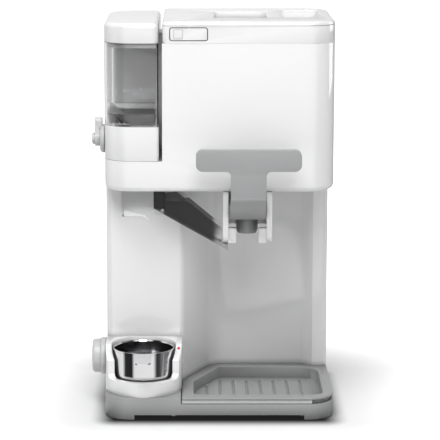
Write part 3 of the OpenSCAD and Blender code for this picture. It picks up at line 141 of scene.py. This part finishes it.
# Azimuth as a share of a full turn (0.5 is the front, less is the left), and how bright the studio is there
CARDS = ((0.00, 0.80), (0.27, 0.90), (0.305, 0.03), (0.385, 0.02), (0.41, 0.90), (0.60, 0.95),
         (0.635, 0.04), (0.67, 0.06), (0.70, 0.20), (0.94, 0.12), (1.00, 0.80))


def cards(tree, output, centre):
    """How bright the studio looks to a mirror: pale and dark cards stand in a ring round a centre."""
    place = tree.nodes.new("ShaderNodeTexCoord")
    parts = tree.nodes.new("ShaderNodeSeparateXYZ")
    aside = tree.nodes.new("ShaderNodeVectorMath")
    aside.operation = "SUBTRACT"
    aside.inputs[1].default_value = centre
    ahead = tree.nodes.new("ShaderNodeMath")
    ahead.operation = "MULTIPLY"
    ahead.inputs[1].default_value = -1
    angle = tree.nodes.new("ShaderNodeMath")
    angle.operation = "ARCTAN2"
    turn = tree.nodes.new("ShaderNodeMapRange")
    turn.inputs["From Min"].default_value = -math.pi
    turn.inputs["From Max"].default_value = math.pi
    ramp = tree.nodes.new("ShaderNodeValToRGB")
    stops = ramp.color_ramp.elements
    for stop, (position, level) in zip([stops[0], stops[1]], (CARDS[0], CARDS[-1])):
        stop.position = position
        stop.color = (level, level, level, 1)
    for position, level in CARDS[1:-1]:
        stops.new(position).color = (level, level, level, 1)
    tree.links.new(place.outputs[output], aside.inputs[0])
    tree.links.new(aside.outputs[0], parts.inputs[0])
    tree.links.new(parts.outputs["Y"], ahead.inputs[0])
    tree.links.new(parts.outputs["X"], angle.inputs[0])
    tree.links.new(ahead.outputs[0], angle.inputs[1])
    tree.links.new(angle.outputs[0], turn.inputs["Value"])
    tree.links.new(turn.outputs["Result"], ramp.inputs["Fac"])
    return ramp.outputs["Color"]


CUP_AXIS = at(-81, 12, 0)      # the cards on the floor stand round the cup, the brightest metal
# painted shadow: over this many metres the paper's colour goes from near black under the feet to full white
PAINTED_SHADOW_WIDTH = 0.03             # metres from the feet to where the paper is its full white
GLOW_FROM, GLOW_FULL = -0.02, 0.26      # metres from the feet over which its own light grows


def paper(name, own_light):
    """Matt white paper, painted near black under the feet as their contact shadow, that adds own_light, away
    from the machine, to the rays that see it directly.
    """
    material, tree = new_material(name)
    matt = tree.nodes.new("ShaderNodeBsdfDiffuse")
    # Painted contact shadow: under the feet the paper's colour is near black, and just outside them it grows
    # back to white
    painted_contact_shadow = tree.nodes.new("ShaderNodeMix")
    painted_contact_shadow.data_type = "RGBA"
    painted_contact_shadow.inputs["A"].default_value = (0.008, 0.008, 0.008, 1)
    painted_contact_shadow.inputs["B"].default_value = (0.86, 0.86, 0.865, 1)
    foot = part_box("base_frame")
    inner = foot[0] + Vector((0.012, 0.004, 0)), foot[1] - Vector((0.012, 0.012, 0))
    tree.links.new(away_from(tree, inner, 0.0, PAINTED_SHADOW_WIDTH), painted_contact_shadow.inputs["Factor"])
    tree.links.new(painted_contact_shadow.outputs["Result"], matt.inputs["Color"])
    glow = tree.nodes.new("ShaderNodeEmission")
    gain = tree.nodes.new("ShaderNodeMath")
    gain.operation = "MULTIPLY"
    level = tree.nodes.new("ShaderNodeMath")
    level.operation = "MULTIPLY"
    level.inputs[1].default_value = own_light
    tree.links.new(away_from(tree, foot, GLOW_FROM, GLOW_FULL), level.inputs[0])
    tree.links.new(level.outputs[0], gain.inputs[1])
    both = tree.nodes.new("ShaderNodeAddShader")
    out = tree.nodes.new("ShaderNodeOutputMaterial")
    tree.links.new(seen_directly(tree), gain.inputs[0])
    tree.links.new(gain.outputs[0], glow.inputs["Strength"])
    tree.links.new(matt.outputs[0], both.inputs[0])
    tree.links.new(glow.outputs[0], both.inputs[1])
    path = tree.nodes.new("ShaderNodeLightPath")
    mirrored = tree.nodes.new("ShaderNodeEmission")
    choice = tree.nodes.new("ShaderNodeMixShader")
    tree.links.new(cards(tree, "Object", CUP_AXIS), mirrored.inputs["Color"])
    tree.links.new(path.outputs["Is Glossy Ray"], choice.inputs["Fac"])
    tree.links.new(both.outputs[0], choice.inputs[1])
    tree.links.new(mirrored.outputs[0], choice.inputs[2])
    tree.links.new(choice.outputs[0], out.inputs["Surface"])
    return material


bpy.ops.mesh.primitive_plane_add(size=14, location=(0, 0, 0))
floor = bpy.context.object
floor.name = "studio_floor"
floor.data.materials.append(paper("studio_paper", 0.9))

world = bpy.data.worlds.new("studio_air")
scene.world = world
world.use_nodes = True
air = world.node_tree
air.nodes.clear()
path = air.nodes.new("ShaderNodeLightPath")
mirrored = air.nodes.new("ShaderNodeMix")
mirrored.data_type = "RGBA"
mirrored.inputs["A"].default_value = (0.19, 0.19, 0.19, 1)
behind = air.nodes.new("ShaderNodeMix")
behind.data_type = "RGBA"
behind.inputs["B"].default_value = (1, 1, 1, 1)
shine = air.nodes.new("ShaderNodeBackground")
sky_out = air.nodes.new("ShaderNodeOutputWorld")
air.links.new(path.outputs["Is Glossy Ray"], mirrored.inputs["Factor"])
air.links.new(cards(air, "Generated", (0, 0, 0)), mirrored.inputs["B"])
air.links.new(seen_directly(air), behind.inputs["Factor"])
air.links.new(mirrored.outputs["Result"], behind.inputs["A"])
air.links.new(behind.outputs["Result"], shine.inputs["Color"])
air.links.new(shine.outputs[0], sky_out.inputs["Surface"])
print("floor and air are ready")

# %% [markdown]
# Four big soft lamps light the machine: the key stands high in front with a second one farther back, a weak one
# fills from the right, and a bank overhead brightens the lid. Big lamps make wide, calm gradients on glossy
# white plastic; a small lamp would leave hard spots on it.

# %% Lamps


def softbox(name, place, aim, width, height, power):
    """A soft rectangular lamp at a place, turned to look at another."""
    lamp = bpy.data.lights.new(name, "AREA")
    lamp.shape = "RECTANGLE"
    lamp.size = width
    lamp.size_y = height
    lamp.energy = power
    holder = bpy.data.objects.new(name, lamp)
    holder.location = place
    holder.rotation_euler = (Vector(aim) - Vector(place)).to_track_quat("-Z", "Y").to_euler()
    scene.collection.objects.link(holder)
    return holder


middle = at(0, 60, 210)
softbox("key", (-0.45, -1.35, 2.55), middle, 1.8, 1.2, 46)
softbox("front", (0.15, -2.8, 2.4), middle, 1.6, 1.2, 39)
softbox("side", (2.2, 1.1, 1.0), middle, 1.2, 1.4, 14)
softbox("overhead", (0.0, 0.2, 2.2), middle, 1.6, 1.2, 8)
print("four lamps")

# %% [markdown]
# The camera stands about two metres off and looks down ten degrees through a long lens, which keeps upright
# lines nearly parallel. The frame is shifted a little, because the machine stands right of the picture's axis.

# %% Camera
lens = bpy.data.cameras.new("long_lens")
FRAME_WIDTH, FOCAL_LENGTH, SHIFT = 440, 2100, 26.5      # in pixels
lens.sensor_width = 36
lens.lens = 36 * FOCAL_LENGTH / FRAME_WIDTH
lens.shift_x = SHIFT / FRAME_WIDTH
camera = bpy.data.objects.new("camera", lens)
camera.location = at(-27, -2153, 599.6)
LOOK_DOWN = 10.3
camera.rotation_euler = Euler((math.radians(90 - LOOK_DOWN), 0, 0))
scene.collection.objects.link(camera)
scene.camera = camera
print("camera with a", round(lens.lens), "mm lens")

# %% [markdown]
# ## Finishes
# Every finish starts from the same small recipe: a colour that drifts a little over the surface, a roughness
# that drifts with it, and a fine bump for the grain of the mould. Each reads Object coordinates, so the
# pattern is fixed to the piece and rides with it. In narrow seams and corners an ambient occlusion node
# darkens the colour: that is painted shade.

# %% The recipe


# Painted shade: in the closest nook the colour is multiplied down to this share
NOOK_SHADE = 0.35              # what is left of the colour in the closest nook


def finish(name, colour, rough, drift=0.03, grain=700, bump=0.03, metallic=0.0, reach=0.006, **sockets):
    """A moulded or machined surface whose colour and roughness drift. Its colour gets painted shade in nooks
    within reach metres.
    """
    material, tree = new_material(name)
    shader = tree.nodes.new("ShaderNodeBsdfPrincipled")
    place = tree.nodes.new("ShaderNodeTexCoord")
    cloud = tree.nodes.new("ShaderNodeTexNoise")
    cloud.inputs["Scale"].default_value = 14
    cloud.inputs["Detail"].default_value = 3
    tint = tree.nodes.new("ShaderNodeMix")
    tint.data_type = "RGBA"
    tint.inputs["A"].default_value = [c * (1 - drift) for c in colour] + [1]
    tint.inputs["B"].default_value = [min(1, c * (1 + drift)) for c in colour] + [1]
    polish = tree.nodes.new("ShaderNodeMapRange")
    polish.inputs["To Min"].default_value = rough * 0.88
    polish.inputs["To Max"].default_value = rough * 1.12
    fine = tree.nodes.new("ShaderNodeTexNoise")
    fine.inputs["Scale"].default_value = grain
    fine.inputs["Detail"].default_value = 2
    relief = tree.nodes.new("ShaderNodeBump")
    relief.inputs["Strength"].default_value = bump
    relief.inputs["Distance"].default_value = 0.0004
    # Painted shade: ambient occlusion darkens the colour in seams, corners and recesses
    nook = tree.nodes.new("ShaderNodeAmbientOcclusion")
    nook.samples = 6
    nook.inputs["Distance"].default_value = reach
    painted_shade = tree.nodes.new("ShaderNodeMapRange")
    painted_shade.inputs["To Min"].default_value = NOOK_SHADE
    shaded = tree.nodes.new("ShaderNodeMix")
    shaded.data_type = "RGBA"
    shaded.blend_type = "MULTIPLY"
    shaded.inputs["Factor"].default_value = 1
    out = tree.nodes.new("ShaderNodeOutputMaterial")
    shader.inputs["Metallic"].default_value = metallic
    for socket, value in sockets.items():
        shader.inputs[socket.replace("_", " ")].default_value = value
    tree.links.new(place.outputs["Object"], cloud.inputs["Vector"])
    tree.links.new(place.outputs["Object"], fine.inputs["Vector"])
    tree.links.new(cloud.outputs["Fac"], tint.inputs["Factor"])
    tree.links.new(tint.outputs["Result"], shaded.inputs["A"])
    tree.links.new(nook.outputs["AO"], painted_shade.inputs["Value"])
    tree.links.new(painted_shade.outputs["Result"], shaded.inputs["B"])
    tree.links.new(shaded.outputs["Result"], shader.inputs["Base Color"])
    tree.links.new(cloud.outputs["Fac"], polish.inputs["Value"])
    tree.links.new(polish.outputs["Result"], shader.inputs["Roughness"])
    tree.links.new(fine.outputs["Fac"], relief.inputs["Height"])
    tree.links.new(relief.outputs["Normal"], shader.inputs["Normal"])
    tree.links.new(shader.outputs[0], out.inputs["Surface"])
    return material


FINISHES = {
    "white_shell": finish("gloss_white", (0.83, 0.83, 0.832), 0.07, 0.006, 900, 0.006, Specular_IOR_Level=0.9),
    "white_inner": finish("matt_white", (0.74, 0.74, 0.73), 0.45, 0.02, 600, 0.04),
    # the satin grey's painted shade reaches farther, so its grooves and wells come out darker
    "grey_satin": finish("satin_grey", (0.35, 0.353, 0.356), 0.36, 0.015, 1500, 0.05, reach=0.022),
    "dark_plastic": finish("dark_grey", (0.055, 0.057, 0.06), 0.5, 0.06, 900, 0.06),
    "bowl_shell": finish("bowl_alloy", (0.62, 0.63, 0.64), 0.32, 0.03, 500, 0.03, 0.9),
    "steel": finish("turned_steel", (0.62, 0.62, 0.63), 0.25, 0.04, 900, 0.05, 1.0),
    "motor_steel": finish("motor_can", (0.35, 0.36, 0.38), 0.42, 0.06, 400, 0.08, 1.0),
    "cup_steel": finish("mirror_steel", (0.80, 0.80, 0.81), 0.07, 0.02, 300, 0.01, 1.0),
    "heater_plate": finish("heater_plate", (0.30, 0.30, 0.31), 0.45, 0.06, 500, 0.06, 0.8),
    "rubber": finish("soft_rubber", (0.018, 0.018, 0.02), 0.75, 0.1, 900, 0.15),
    "gear_plastic": finish("gear_nylon", (0.72, 0.68, 0.56), 0.4, 0.03, 700, 0.05),
    "pinion_brass": finish("brass", (0.66, 0.47, 0.18), 0.28, 0.05, 500, 0.05, 1.0),
    "circuit_board": finish("board_green", (0.02, 0.11, 0.05), 0.4, 0.1, 500, 0.05),
}
print(len(FINISHES), "finishes from one recipe")

# %% [markdown]
# Clear plastic is a different recipe: light goes through it, so its colour is counted once at each surface it
# crosses. Even a wall that looks clear turns grey where it is seen edge on. The chute is smoky between its
# socket and its mouth. The lamp's lens is a small red piece that glows a little.

# %% Clear finishes


SMOKE_TOP = 225                # millimetres: the chute hangs below this, and its smoke runs along X
SMOKE_START, SMOKE_FADE, SMOKE_END = -59, -9, -2


def clear_finish(name, colour, rough, ior, smoke=None):
    """A plastic that light passes through, with a faint ripple from its mould. Smoke tints the chute."""
    material, tree = new_material(name)
    shader = tree.nodes.new("ShaderNodeBsdfPrincipled")
    place = tree.nodes.new("ShaderNodeTexCoord")
    ripple = tree.nodes.new("ShaderNodeTexNoise")
    relief = tree.nodes.new("ShaderNodeBump")
    out = tree.nodes.new("ShaderNodeOutputMaterial")
    ripple.inputs["Scale"].default_value = 30
    relief.inputs["Strength"].default_value = 0.05
    relief.inputs["Distance"].default_value = 0.0004
    shader.inputs["Base Color"].default_value = (*colour, 1)
    shader.inputs["Roughness"].default_value = rough
    shader.inputs["IOR"].default_value = ior
    shader.inputs["Transmission Weight"].default_value = 1
    if smoke:
        parts = tree.nodes.new("ShaderNodeSeparateXYZ")
        under = tree.nodes.new("ShaderNodeMath")
        under.operation = "LESS_THAN"
        under.inputs[1].default_value = at(0, 0, SMOKE_TOP).z
        along = tree.nodes.new("ShaderNodeMapRange")
        along.interpolation_type = "SMOOTHSTEP"
        begin = tree.nodes.new("ShaderNodeMapRange")
        begin.inputs["From Min"].default_value = at(SMOKE_START, 0, 0).x
        begin.inputs["From Max"].default_value = at(SMOKE_START + 1, 0, 0).x
        along.inputs["From Min"].default_value = at(SMOKE_END, 0, 0).x
        along.inputs["From Max"].default_value = at(SMOKE_FADE, 0, 0).x
        both = tree.nodes.new("ShaderNodeMath")
        both.operation = "MULTIPLY"
        all_three = tree.nodes.new("ShaderNodeMath")
        all_three.operation = "MULTIPLY"
        tint = tree.nodes.new("ShaderNodeMix")
        tint.data_type = "RGBA"
        tint.inputs["A"].default_value = (*colour, 1)
        tint.inputs["B"].default_value = (*smoke, 1)
        tree.links.new(place.outputs["Object"], parts.inputs[0])
        tree.links.new(parts.outputs["Z"], under.inputs[0])
        tree.links.new(parts.outputs["X"], along.inputs["Value"])
        tree.links.new(parts.outputs["X"], begin.inputs["Value"])
        tree.links.new(along.outputs["Result"], both.inputs[0])
        tree.links.new(begin.outputs["Result"], both.inputs[1])
        tree.links.new(both.outputs[0], all_three.inputs[0])
        tree.links.new(under.outputs[0], all_three.inputs[1])
        tree.links.new(all_three.outputs[0], tint.inputs["Factor"])
        tree.links.new(tint.outputs["Result"], shader.inputs["Base Color"])
    tree.links.new(place.outputs["Object"], ripple.inputs["Vector"])
    tree.links.new(ripple.outputs["Fac"], relief.inputs["Height"])
    tree.links.new(relief.outputs["Normal"], shader.inputs["Normal"])
    path = tree.nodes.new("ShaderNodeLightPath")
    passing = tree.nodes.new("ShaderNodeBsdfTransparent")
    passing.inputs["Color"].default_value = (0.85, 0.85, 0.85, 1)
    choice = tree.nodes.new("ShaderNodeMixShader")
    tree.links.new(path.outputs["Is Shadow Ray"], choice.inputs["Fac"])
    tree.links.new(shader.outputs[0], choice.inputs[1])
    tree.links.new(passing.outputs[0], choice.inputs[2])
    tree.links.new(choice.outputs[0], out.inputs["Surface"])
    return material


FINISHES["clear_plastic"] = clear_finish("clear_acrylic", (0.975, 0.977, 0.98), 0.03, 1.45, (0.15, 0.15, 0.155))
FINISHES["red_lens"] = finish("red_lens", (0.62, 0.04, 0.05), 0.2, 0.03, 300, 0.02,
                              Emission_Color=(0.7, 0.05, 0.06, 1), Emission_Strength=0.35)
PALE_GREY = finish("pale_grey", (0.56, 0.563, 0.566), 0.32, 0.015, 1500, 0.05)
slot_of = {part["node"]: part["material_slot"] for part in frame["record"]["subparts"]}
for name, solid in nodes.items():
    solid.data.materials.clear()
    solid.data.materials.append(PALE_GREY if name == "warmer_dial" else FINISHES[slot_of[name]])
print(len(nodes), "solids dressed")

# %% [markdown]
# ## Rounded edges
# No moulded edge is perfectly sharp: the mould itself has a small radius, and that radius is what draws a thin
# bright line along it. Each visible solid is copied, its loose triangles are merged, and its outward edges are
# bevelled. Inward edges stay sharp, because there the material would grow into its neighbour. The copy then
# stands for the solid.

# %% Round the outward edges


def rounded_copy(node, radius, rings=2, sharp=33):
    """A copy of a solid whose outward edges are rounded by radius millimetres. It takes the solid's place."""
    source = nodes[node]
    mesh = source.data.copy()
    form = bmesh.new()
    form.from_mesh(mesh)
    bmesh.ops.remove_doubles(form, verts=form.verts, dist=2e-6)
    bmesh.ops.dissolve_limit(form, angle_limit=math.radians(0.6), verts=form.verts, edges=form.edges)
    weight = form.edges.layers.float.new("bevel_weight_edge")
    for edge in form.edges:
        if len(edge.link_faces) == 2 and edge.is_convex:
            edge[weight] = edge.calc_face_angle(0) > math.radians(sharp)
    form.to_mesh(mesh)
    form.free()
    piece = bpy.data.objects.new(node + "_round", mesh)
    scene.collection.objects.link(piece)
    bevel = piece.modifiers.new("edge radius", "BEVEL")
    bevel.width = radius / 1000
    bevel.segments = rings
    bevel.limit_method = "WEIGHT"
    bevel.use_clamp_overlap = True
    return settled(piece, source["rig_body"], slot_of[node], node)


def settled(piece, body, slot, *stands_for):
    """Turns a piece and its modifiers into one plain smooth mesh, dresses it and sets it on its body."""
    bpy.context.view_layer.update()
    shape = bpy.data.meshes.new_from_object(piece.evaluated_get(bpy.context.evaluated_depsgraph_get()))
    piece.modifiers.clear()
    piece.data = shape
    shape.materials.clear()
    shape.materials.append(FINISHES[slot])
    shape.shade_smooth()
    shape.set_sharp_from_angle(angle=math.radians(35))
    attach(piece, body)
    if stands_for:
        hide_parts(*stands_for)
    print(piece.name, len(shape.polygons), "faces on", body)
    return piece


EDGE_RADII = {
    "top_collar": 0.7, "lid": 0.6, "power_rocker": 0.6, "condiment_cap": 0.5, "condiment_base": 0.5,
    "condiment_knob": 0.8, "chute_socket": 0.3, "condiment_chute": 0.35, "spout_bracket": 0.7,
    "handle": 1.2, "nozzle": 0.4, "column_shell": 0.6, "base_frame": 0.8, "drip_tray": 0.8,
    "warmer_holder": 1.2, "rear_cover": 0.4, "main_housing": 0.6,
}
for node, radius in EDGE_RADII.items():
    piece = rounded_copy(node, radius)
    if node == "condiment_knob":
        piece.data.materials[0] = PALE_GREY

# %% [markdown]
# ## What repeats
# Screws, vent slats and coils are all one shape that is repeated or swept, which is what Geometry Nodes are
# for. Each tree below has named inputs for its sizes. Its last two nodes turn the instances into real faces
# and give them their finish, and then the result is kept as a plain mesh.

# %% Trees and their inputs
NUMBER, WHOLE, ARROW, THING = "NodeSocketFloat", "NodeSocketInt", "NodeSocketVector", "NodeSocketObject"


def new_tree(name, inputs):
    """A Geometry Nodes tree with the named inputs, and its way in."""
    tree = bpy.data.node_groups.new(name, "GeometryNodeTree")
    for label, kind in inputs.items():
        tree.interface.new_socket(label, in_out="INPUT", socket_type=kind)
    tree.interface.new_socket("Finish", in_out="INPUT", socket_type="NodeSocketMaterial")
    tree.interface.new_socket("Geometry", in_out="OUTPUT", socket_type="NodeSocketGeometry")
    return tree, tree.nodes.new("NodeGroupInput").outputs


def add(tree, kind, settings=None, **wires):
    """A node with its settings, each named input wired to an output or set to a value."""
    node = tree.nodes.new(kind)
    for name, value in (settings or {}).items():
        setattr(node, name, value)
    for label, value in wires.items():
        socket = node.inputs[label.replace("_", " ")]
        if isinstance(value, bpy.types.NodeSocket):
            tree.links.new(value, socket)
        else:
            socket.default_value = value
    return node


def close_tree(tree, inputs, geometry):
    """Ends a tree with real faces in their finish."""
    real = add(tree, "GeometryNodeRealizeInstances", Geometry=geometry)
    dressed = add(tree, "GeometryNodeSetMaterial", Geometry=real.outputs[0], Material=inputs["Finish"])
    tree.links.new(dressed.outputs[0], tree.nodes.new("NodeGroupOutput").inputs["Geometry"])


def grow(name, tree, body, slot, values, *stands_for):
    """A piece made by a tree with these values, kept as a plain mesh on its body."""
    piece = bpy.data.objects.new(name, bpy.data.meshes.new(name))
    scene.collection.objects.link(piece)
    growth = piece.modifiers.new(name, "NODES")
    growth.node_group = tree
    keys = {item.name: item.identifier for item in tree.interface.items_tree if item.in_out == "INPUT"}
    for label, value in values.items():
        growth[keys[label]] = value
    growth[keys["Finish"]] = FINISHES[slot]
    return settled(piece, body, slot, *stands_for)


print("helpers for the trees")

# %% [markdown]
# A pan-head screw is a low dome with a cross-shaped recess. The dome is turned from a profile, and the recess
# is pressed into it: the faces of a cross in the middle of the top are pushed in. The one screw is then set on
# every spot of a small mesh of points, turned to look out of the panel it holds.

# %% One screw
def pan_screw(name, head, shank, length):
    """A screw that looks up, the underside of its head at the origin, with a cross recess. Millimetres."""
    form = bmesh.new()
    arm, reach, sides = head * 0.14, head * 0.52, 24
    top = head * 0.62
    rings = []
    for r, z in ((shank, -length), (shank, 0), (head, 0), (head, top * 0.35), (head * 0.86, top * 0.8),
                 (head * 0.66, top)):
        rings.append([form.verts.new((r * math.cos(2 * math.pi * i / sides) / 1000,
                                      r * math.sin(2 * math.pi * i / sides) / 1000, z / 1000))
                      for i in range(sides)])
    for low, high in zip(rings, rings[1:]):
        for i in range(sides):
            j = (i + 1) % sides
            form.faces.new((low[i], low[j], high[j], high[i]))
    form.faces.new(rings[0][::-1])
    cross = [(arm, arm), (arm, reach), (-arm, reach), (-arm, arm), (-reach, arm), (-reach, -arm),
             (-arm, -arm), (-arm, -reach), (arm, -reach), (arm, -arm), (reach, -arm), (reach, arm)]
    lip = [form.verts.new((x / 1000, y / 1000, top / 1000)) for x, y in cross]
    pit = [form.verts.new((x * 0.8 / 1000, y * 0.8 / 1000, top * 0.35 / 1000)) for x, y in cross]
    for i in range(12):
        j = (i + 1) % 12
        form.faces.new((lip[i], lip[j], pit[j], pit[i]))
    form.faces.new(pit)
    outer = [form.edges.get((rings[-1][i], rings[-1][(i + 1) % sides])) for i in range(sides)]
    inner = [form.edges.get((lip[i], lip[(i + 1) % 12])) for i in range(12)]
    bmesh.ops.triangle_fill(form, edges=outer + inner, use_beauty=True)
    bmesh.ops.recalc_face_normals(form, faces=form.faces)
    mesh = bpy.data.meshes.new(name)
    form.to_mesh(mesh)
    form.free()
    return bpy.data.objects.new(name, mesh)


def spots(name, places):
    """A mesh of loose points, one for each place."""
    mesh = bpy.data.meshes.new(name)
    mesh.from_pydata([tuple(p) for p in places], [], [])
    return bpy.data.objects.new(name, mesh)


copies, ins = new_tree("copies_on_spots", {"Spots": THING, "Part": THING, "Turn": ARROW})
where = add(copies, "GeometryNodeObjectInfo", Object=ins["Spots"])
part = add(copies, "GeometryNodeObjectInfo", Object=ins["Part"])
set_down = add(copies, "GeometryNodeInstanceOnPoints", Points=where.outputs["Geometry"],
               Instance=part.outputs["Geometry"])
turn = add(copies, "FunctionNodeEulerToRotation", Euler=ins["Turn"])
copies.links.new(turn.outputs[0], set_down.inputs["Rotation"])
close_tree(copies, ins, set_down.outputs[0])
print("the tree that sets copies on spots")

# %% [markdown]
# Four screws hold the rear cover and six hold the base plate. Their spots are read from the solids: each screw
# there is one loose island of faces, so the middle of an island's top is where its head sits.

# %% Screws on the back and underneath


def islands(node):
    """The lowest and highest corner of each separate solid in a node."""
    form = bmesh.new()
    form.from_mesh(nodes[node].data)
    bmesh.ops.remove_doubles(form, verts=form.verts, dist=2e-6)
    left, boxes = set(form.verts), []
    while left:
        edge, group = [left.pop()], []
        while edge:
            vert = edge.pop()
            group.append(vert.co.copy())
            for link in vert.link_edges:
                other = link.other_vert(vert)
                if other in left:
                    left.remove(other)
                    edge.append(other)
        boxes.append((Vector(min(v[i] for v in group) for i in range(3)),
                      Vector(max(v[i] for v in group) for i in range(3))))
    form.free()
    return boxes


BACK_SINK, UNDER_SINK = 0.0021, 0.0018      # how far the underside of a head lies below its top
back_spots = spots("back_spots", [((a.x + b.x) / 2, b.y - BACK_SINK, (a.z + b.z) / 2)
                                  for a, b in islands("rear_screws")])
under_spots = spots("under_spots", [((a.x + b.x) / 2, (a.y + b.y) / 2, a.z + UNDER_SINK)
                                    for a, b in islands("base_screws")])
grow("cross_screws_back", copies, "housing", "steel",
     {"Spots": back_spots, "Part": pan_screw("back_screw", 3.6, 1.6, 8.5),
      "Turn": (-math.pi / 2, 0, 0)}, "rear_screws")
grow("cross_screws_under", copies, "housing", "steel",
     {"Spots": under_spots, "Part": pan_screw("under_screw", 3.2, 1.7, 8.5), "Turn": (math.pi, 0, 0)},
     "base_screws")

# %% [markdown]
# The handle's spring is wire wound on a cylinder. A spiral curve with a small circle swept along it is exactly
# how a spring is wound, and the number of turns, the radius and the wire are the tree's inputs.

# %% The handle's torsion spring
coil, ins = new_tree("wound_wire", {"Turns": NUMBER, "Radius": NUMBER, "Length": NUMBER, "Wire": NUMBER,
                                    "Middle": ARROW})
wind = add(coil, "GeometryNodeCurveSpiral", Resolution=40, Rotations=ins["Turns"],
           Start_Radius=ins["Radius"], End_Radius=ins["Radius"], Height=ins["Length"])
wire = add(coil, "GeometryNodeCurvePrimitiveCircle", Resolution=10, Radius=ins["Wire"])
swept = add(coil, "GeometryNodeCurveToMesh", Curve=wind.outputs[0], Profile_Curve=wire.outputs["Curve"],
            Fill_Caps=True)
laid = add(coil, "GeometryNodeTransform", Geometry=swept.outputs[0], Translation=ins["Middle"],
           Rotation=(0, math.pi / 2, 0))
close_tree(coil, ins, laid.outputs[0])
low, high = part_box("handle_spring")
wire_r = 0.00085
grow("spring_coil", coil, "handle", "steel",
     {"Turns": 4.6, "Radius": (high.z - low.z) / 2 - wire_r - 0.00005, "Length": high.x - low.x - 2 * wire_r,
      "Wire": wire_r, "Middle": (low.x + wire_r, (low.y + high.y) / 2, (low.z + high.z) / 2)},
     "handle_spring")

# %% [markdown]
# Behind each vent slot of the rear cover a slat leans across the opening, so that air passes and a finger
# doesn't. A row tree sets one slat at an even step.

# %% Vent slats behind the rear cover
row, ins = new_tree("even_row", {"Part": THING, "Count": WHOLE, "Start": ARROW, "Step": ARROW})
line = add(row, "GeometryNodeMeshLine", Count=ins["Count"], Start_Location=ins["Start"], Offset=ins["Step"])
unit = add(row, "GeometryNodeObjectInfo", Object=ins["Part"])
rank = add(row, "GeometryNodeInstanceOnPoints", Points=line.outputs[0], Instance=unit.outputs["Geometry"])
close_tree(row, ins, rank.outputs[0])


def bar(name, length, outline):
    """A bar along X with a closed outline of (y, z) points, its middle at the origin. Millimetres."""
    form = bmesh.new()
    ends = [[form.verts.new((x / 1000, y / 1000, z / 1000)) for y, z in outline]
            for x in (-length / 2, length / 2)]
    count = len(outline)
    for i in range(count):
        j = (i + 1) % count
        form.faces.new((ends[0][i], ends[0][j], ends[1][j], ends[1][i]))
    form.faces.new(ends[0][::-1])
    form.faces.new(ends[1])
    bmesh.ops.recalc_face_normals(form, faces=form.faces)
    mesh = bpy.data.meshes.new(name)
    form.to_mesh(mesh)
    form.free()
    return bpy.data.objects.new(name, mesh)


slat = bar("slat", 58, [(-3.4, -2.6), (-2.4, -3.0), (3.0, 2.2), (2.4, 2.9), (1.9, 3.0)])
for side, x in (("left", -42), ("right", 42)):
    grow("vent_slats_" + side, row, "housing", "white_inner",
         {"Part": slat, "Count": 7, "Start": at(x, 169.2, 151.5), "Step": (0, 0, 0.009)})

# %% [markdown]
# Under the tray's rim a lip runs along its front, for the fingertips that lift the tray. It is a plain
# bar with softened edges that stands on the tray's skirt. Its pale grey is painted light: it keeps the lip
# bright in the shade of the rim.

# %% The tray's finger lip
rim_front = (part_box("drip_tray")[0].y - HEAD_FRONT) * 1000
lip_low, lip_high = 17.9, 22.3
lip = bar("tray_lip", 136, [(-1.1, lip_low + 0.4), (-0.7, lip_low), (1.3, lip_low), (1.3, lip_high),
                            (-0.7, lip_high), (-1.1, lip_high - 0.4)])
scene.collection.objects.link(lip)
for vert in lip.data.vertices:
    vert.co += at(29, rim_front + 2, 0)
# Painted light: the pale grey keeps the lip bright in the rim's shade
settled(lip, "tray", "grey_satin").data.materials[0] = PALE_GREY
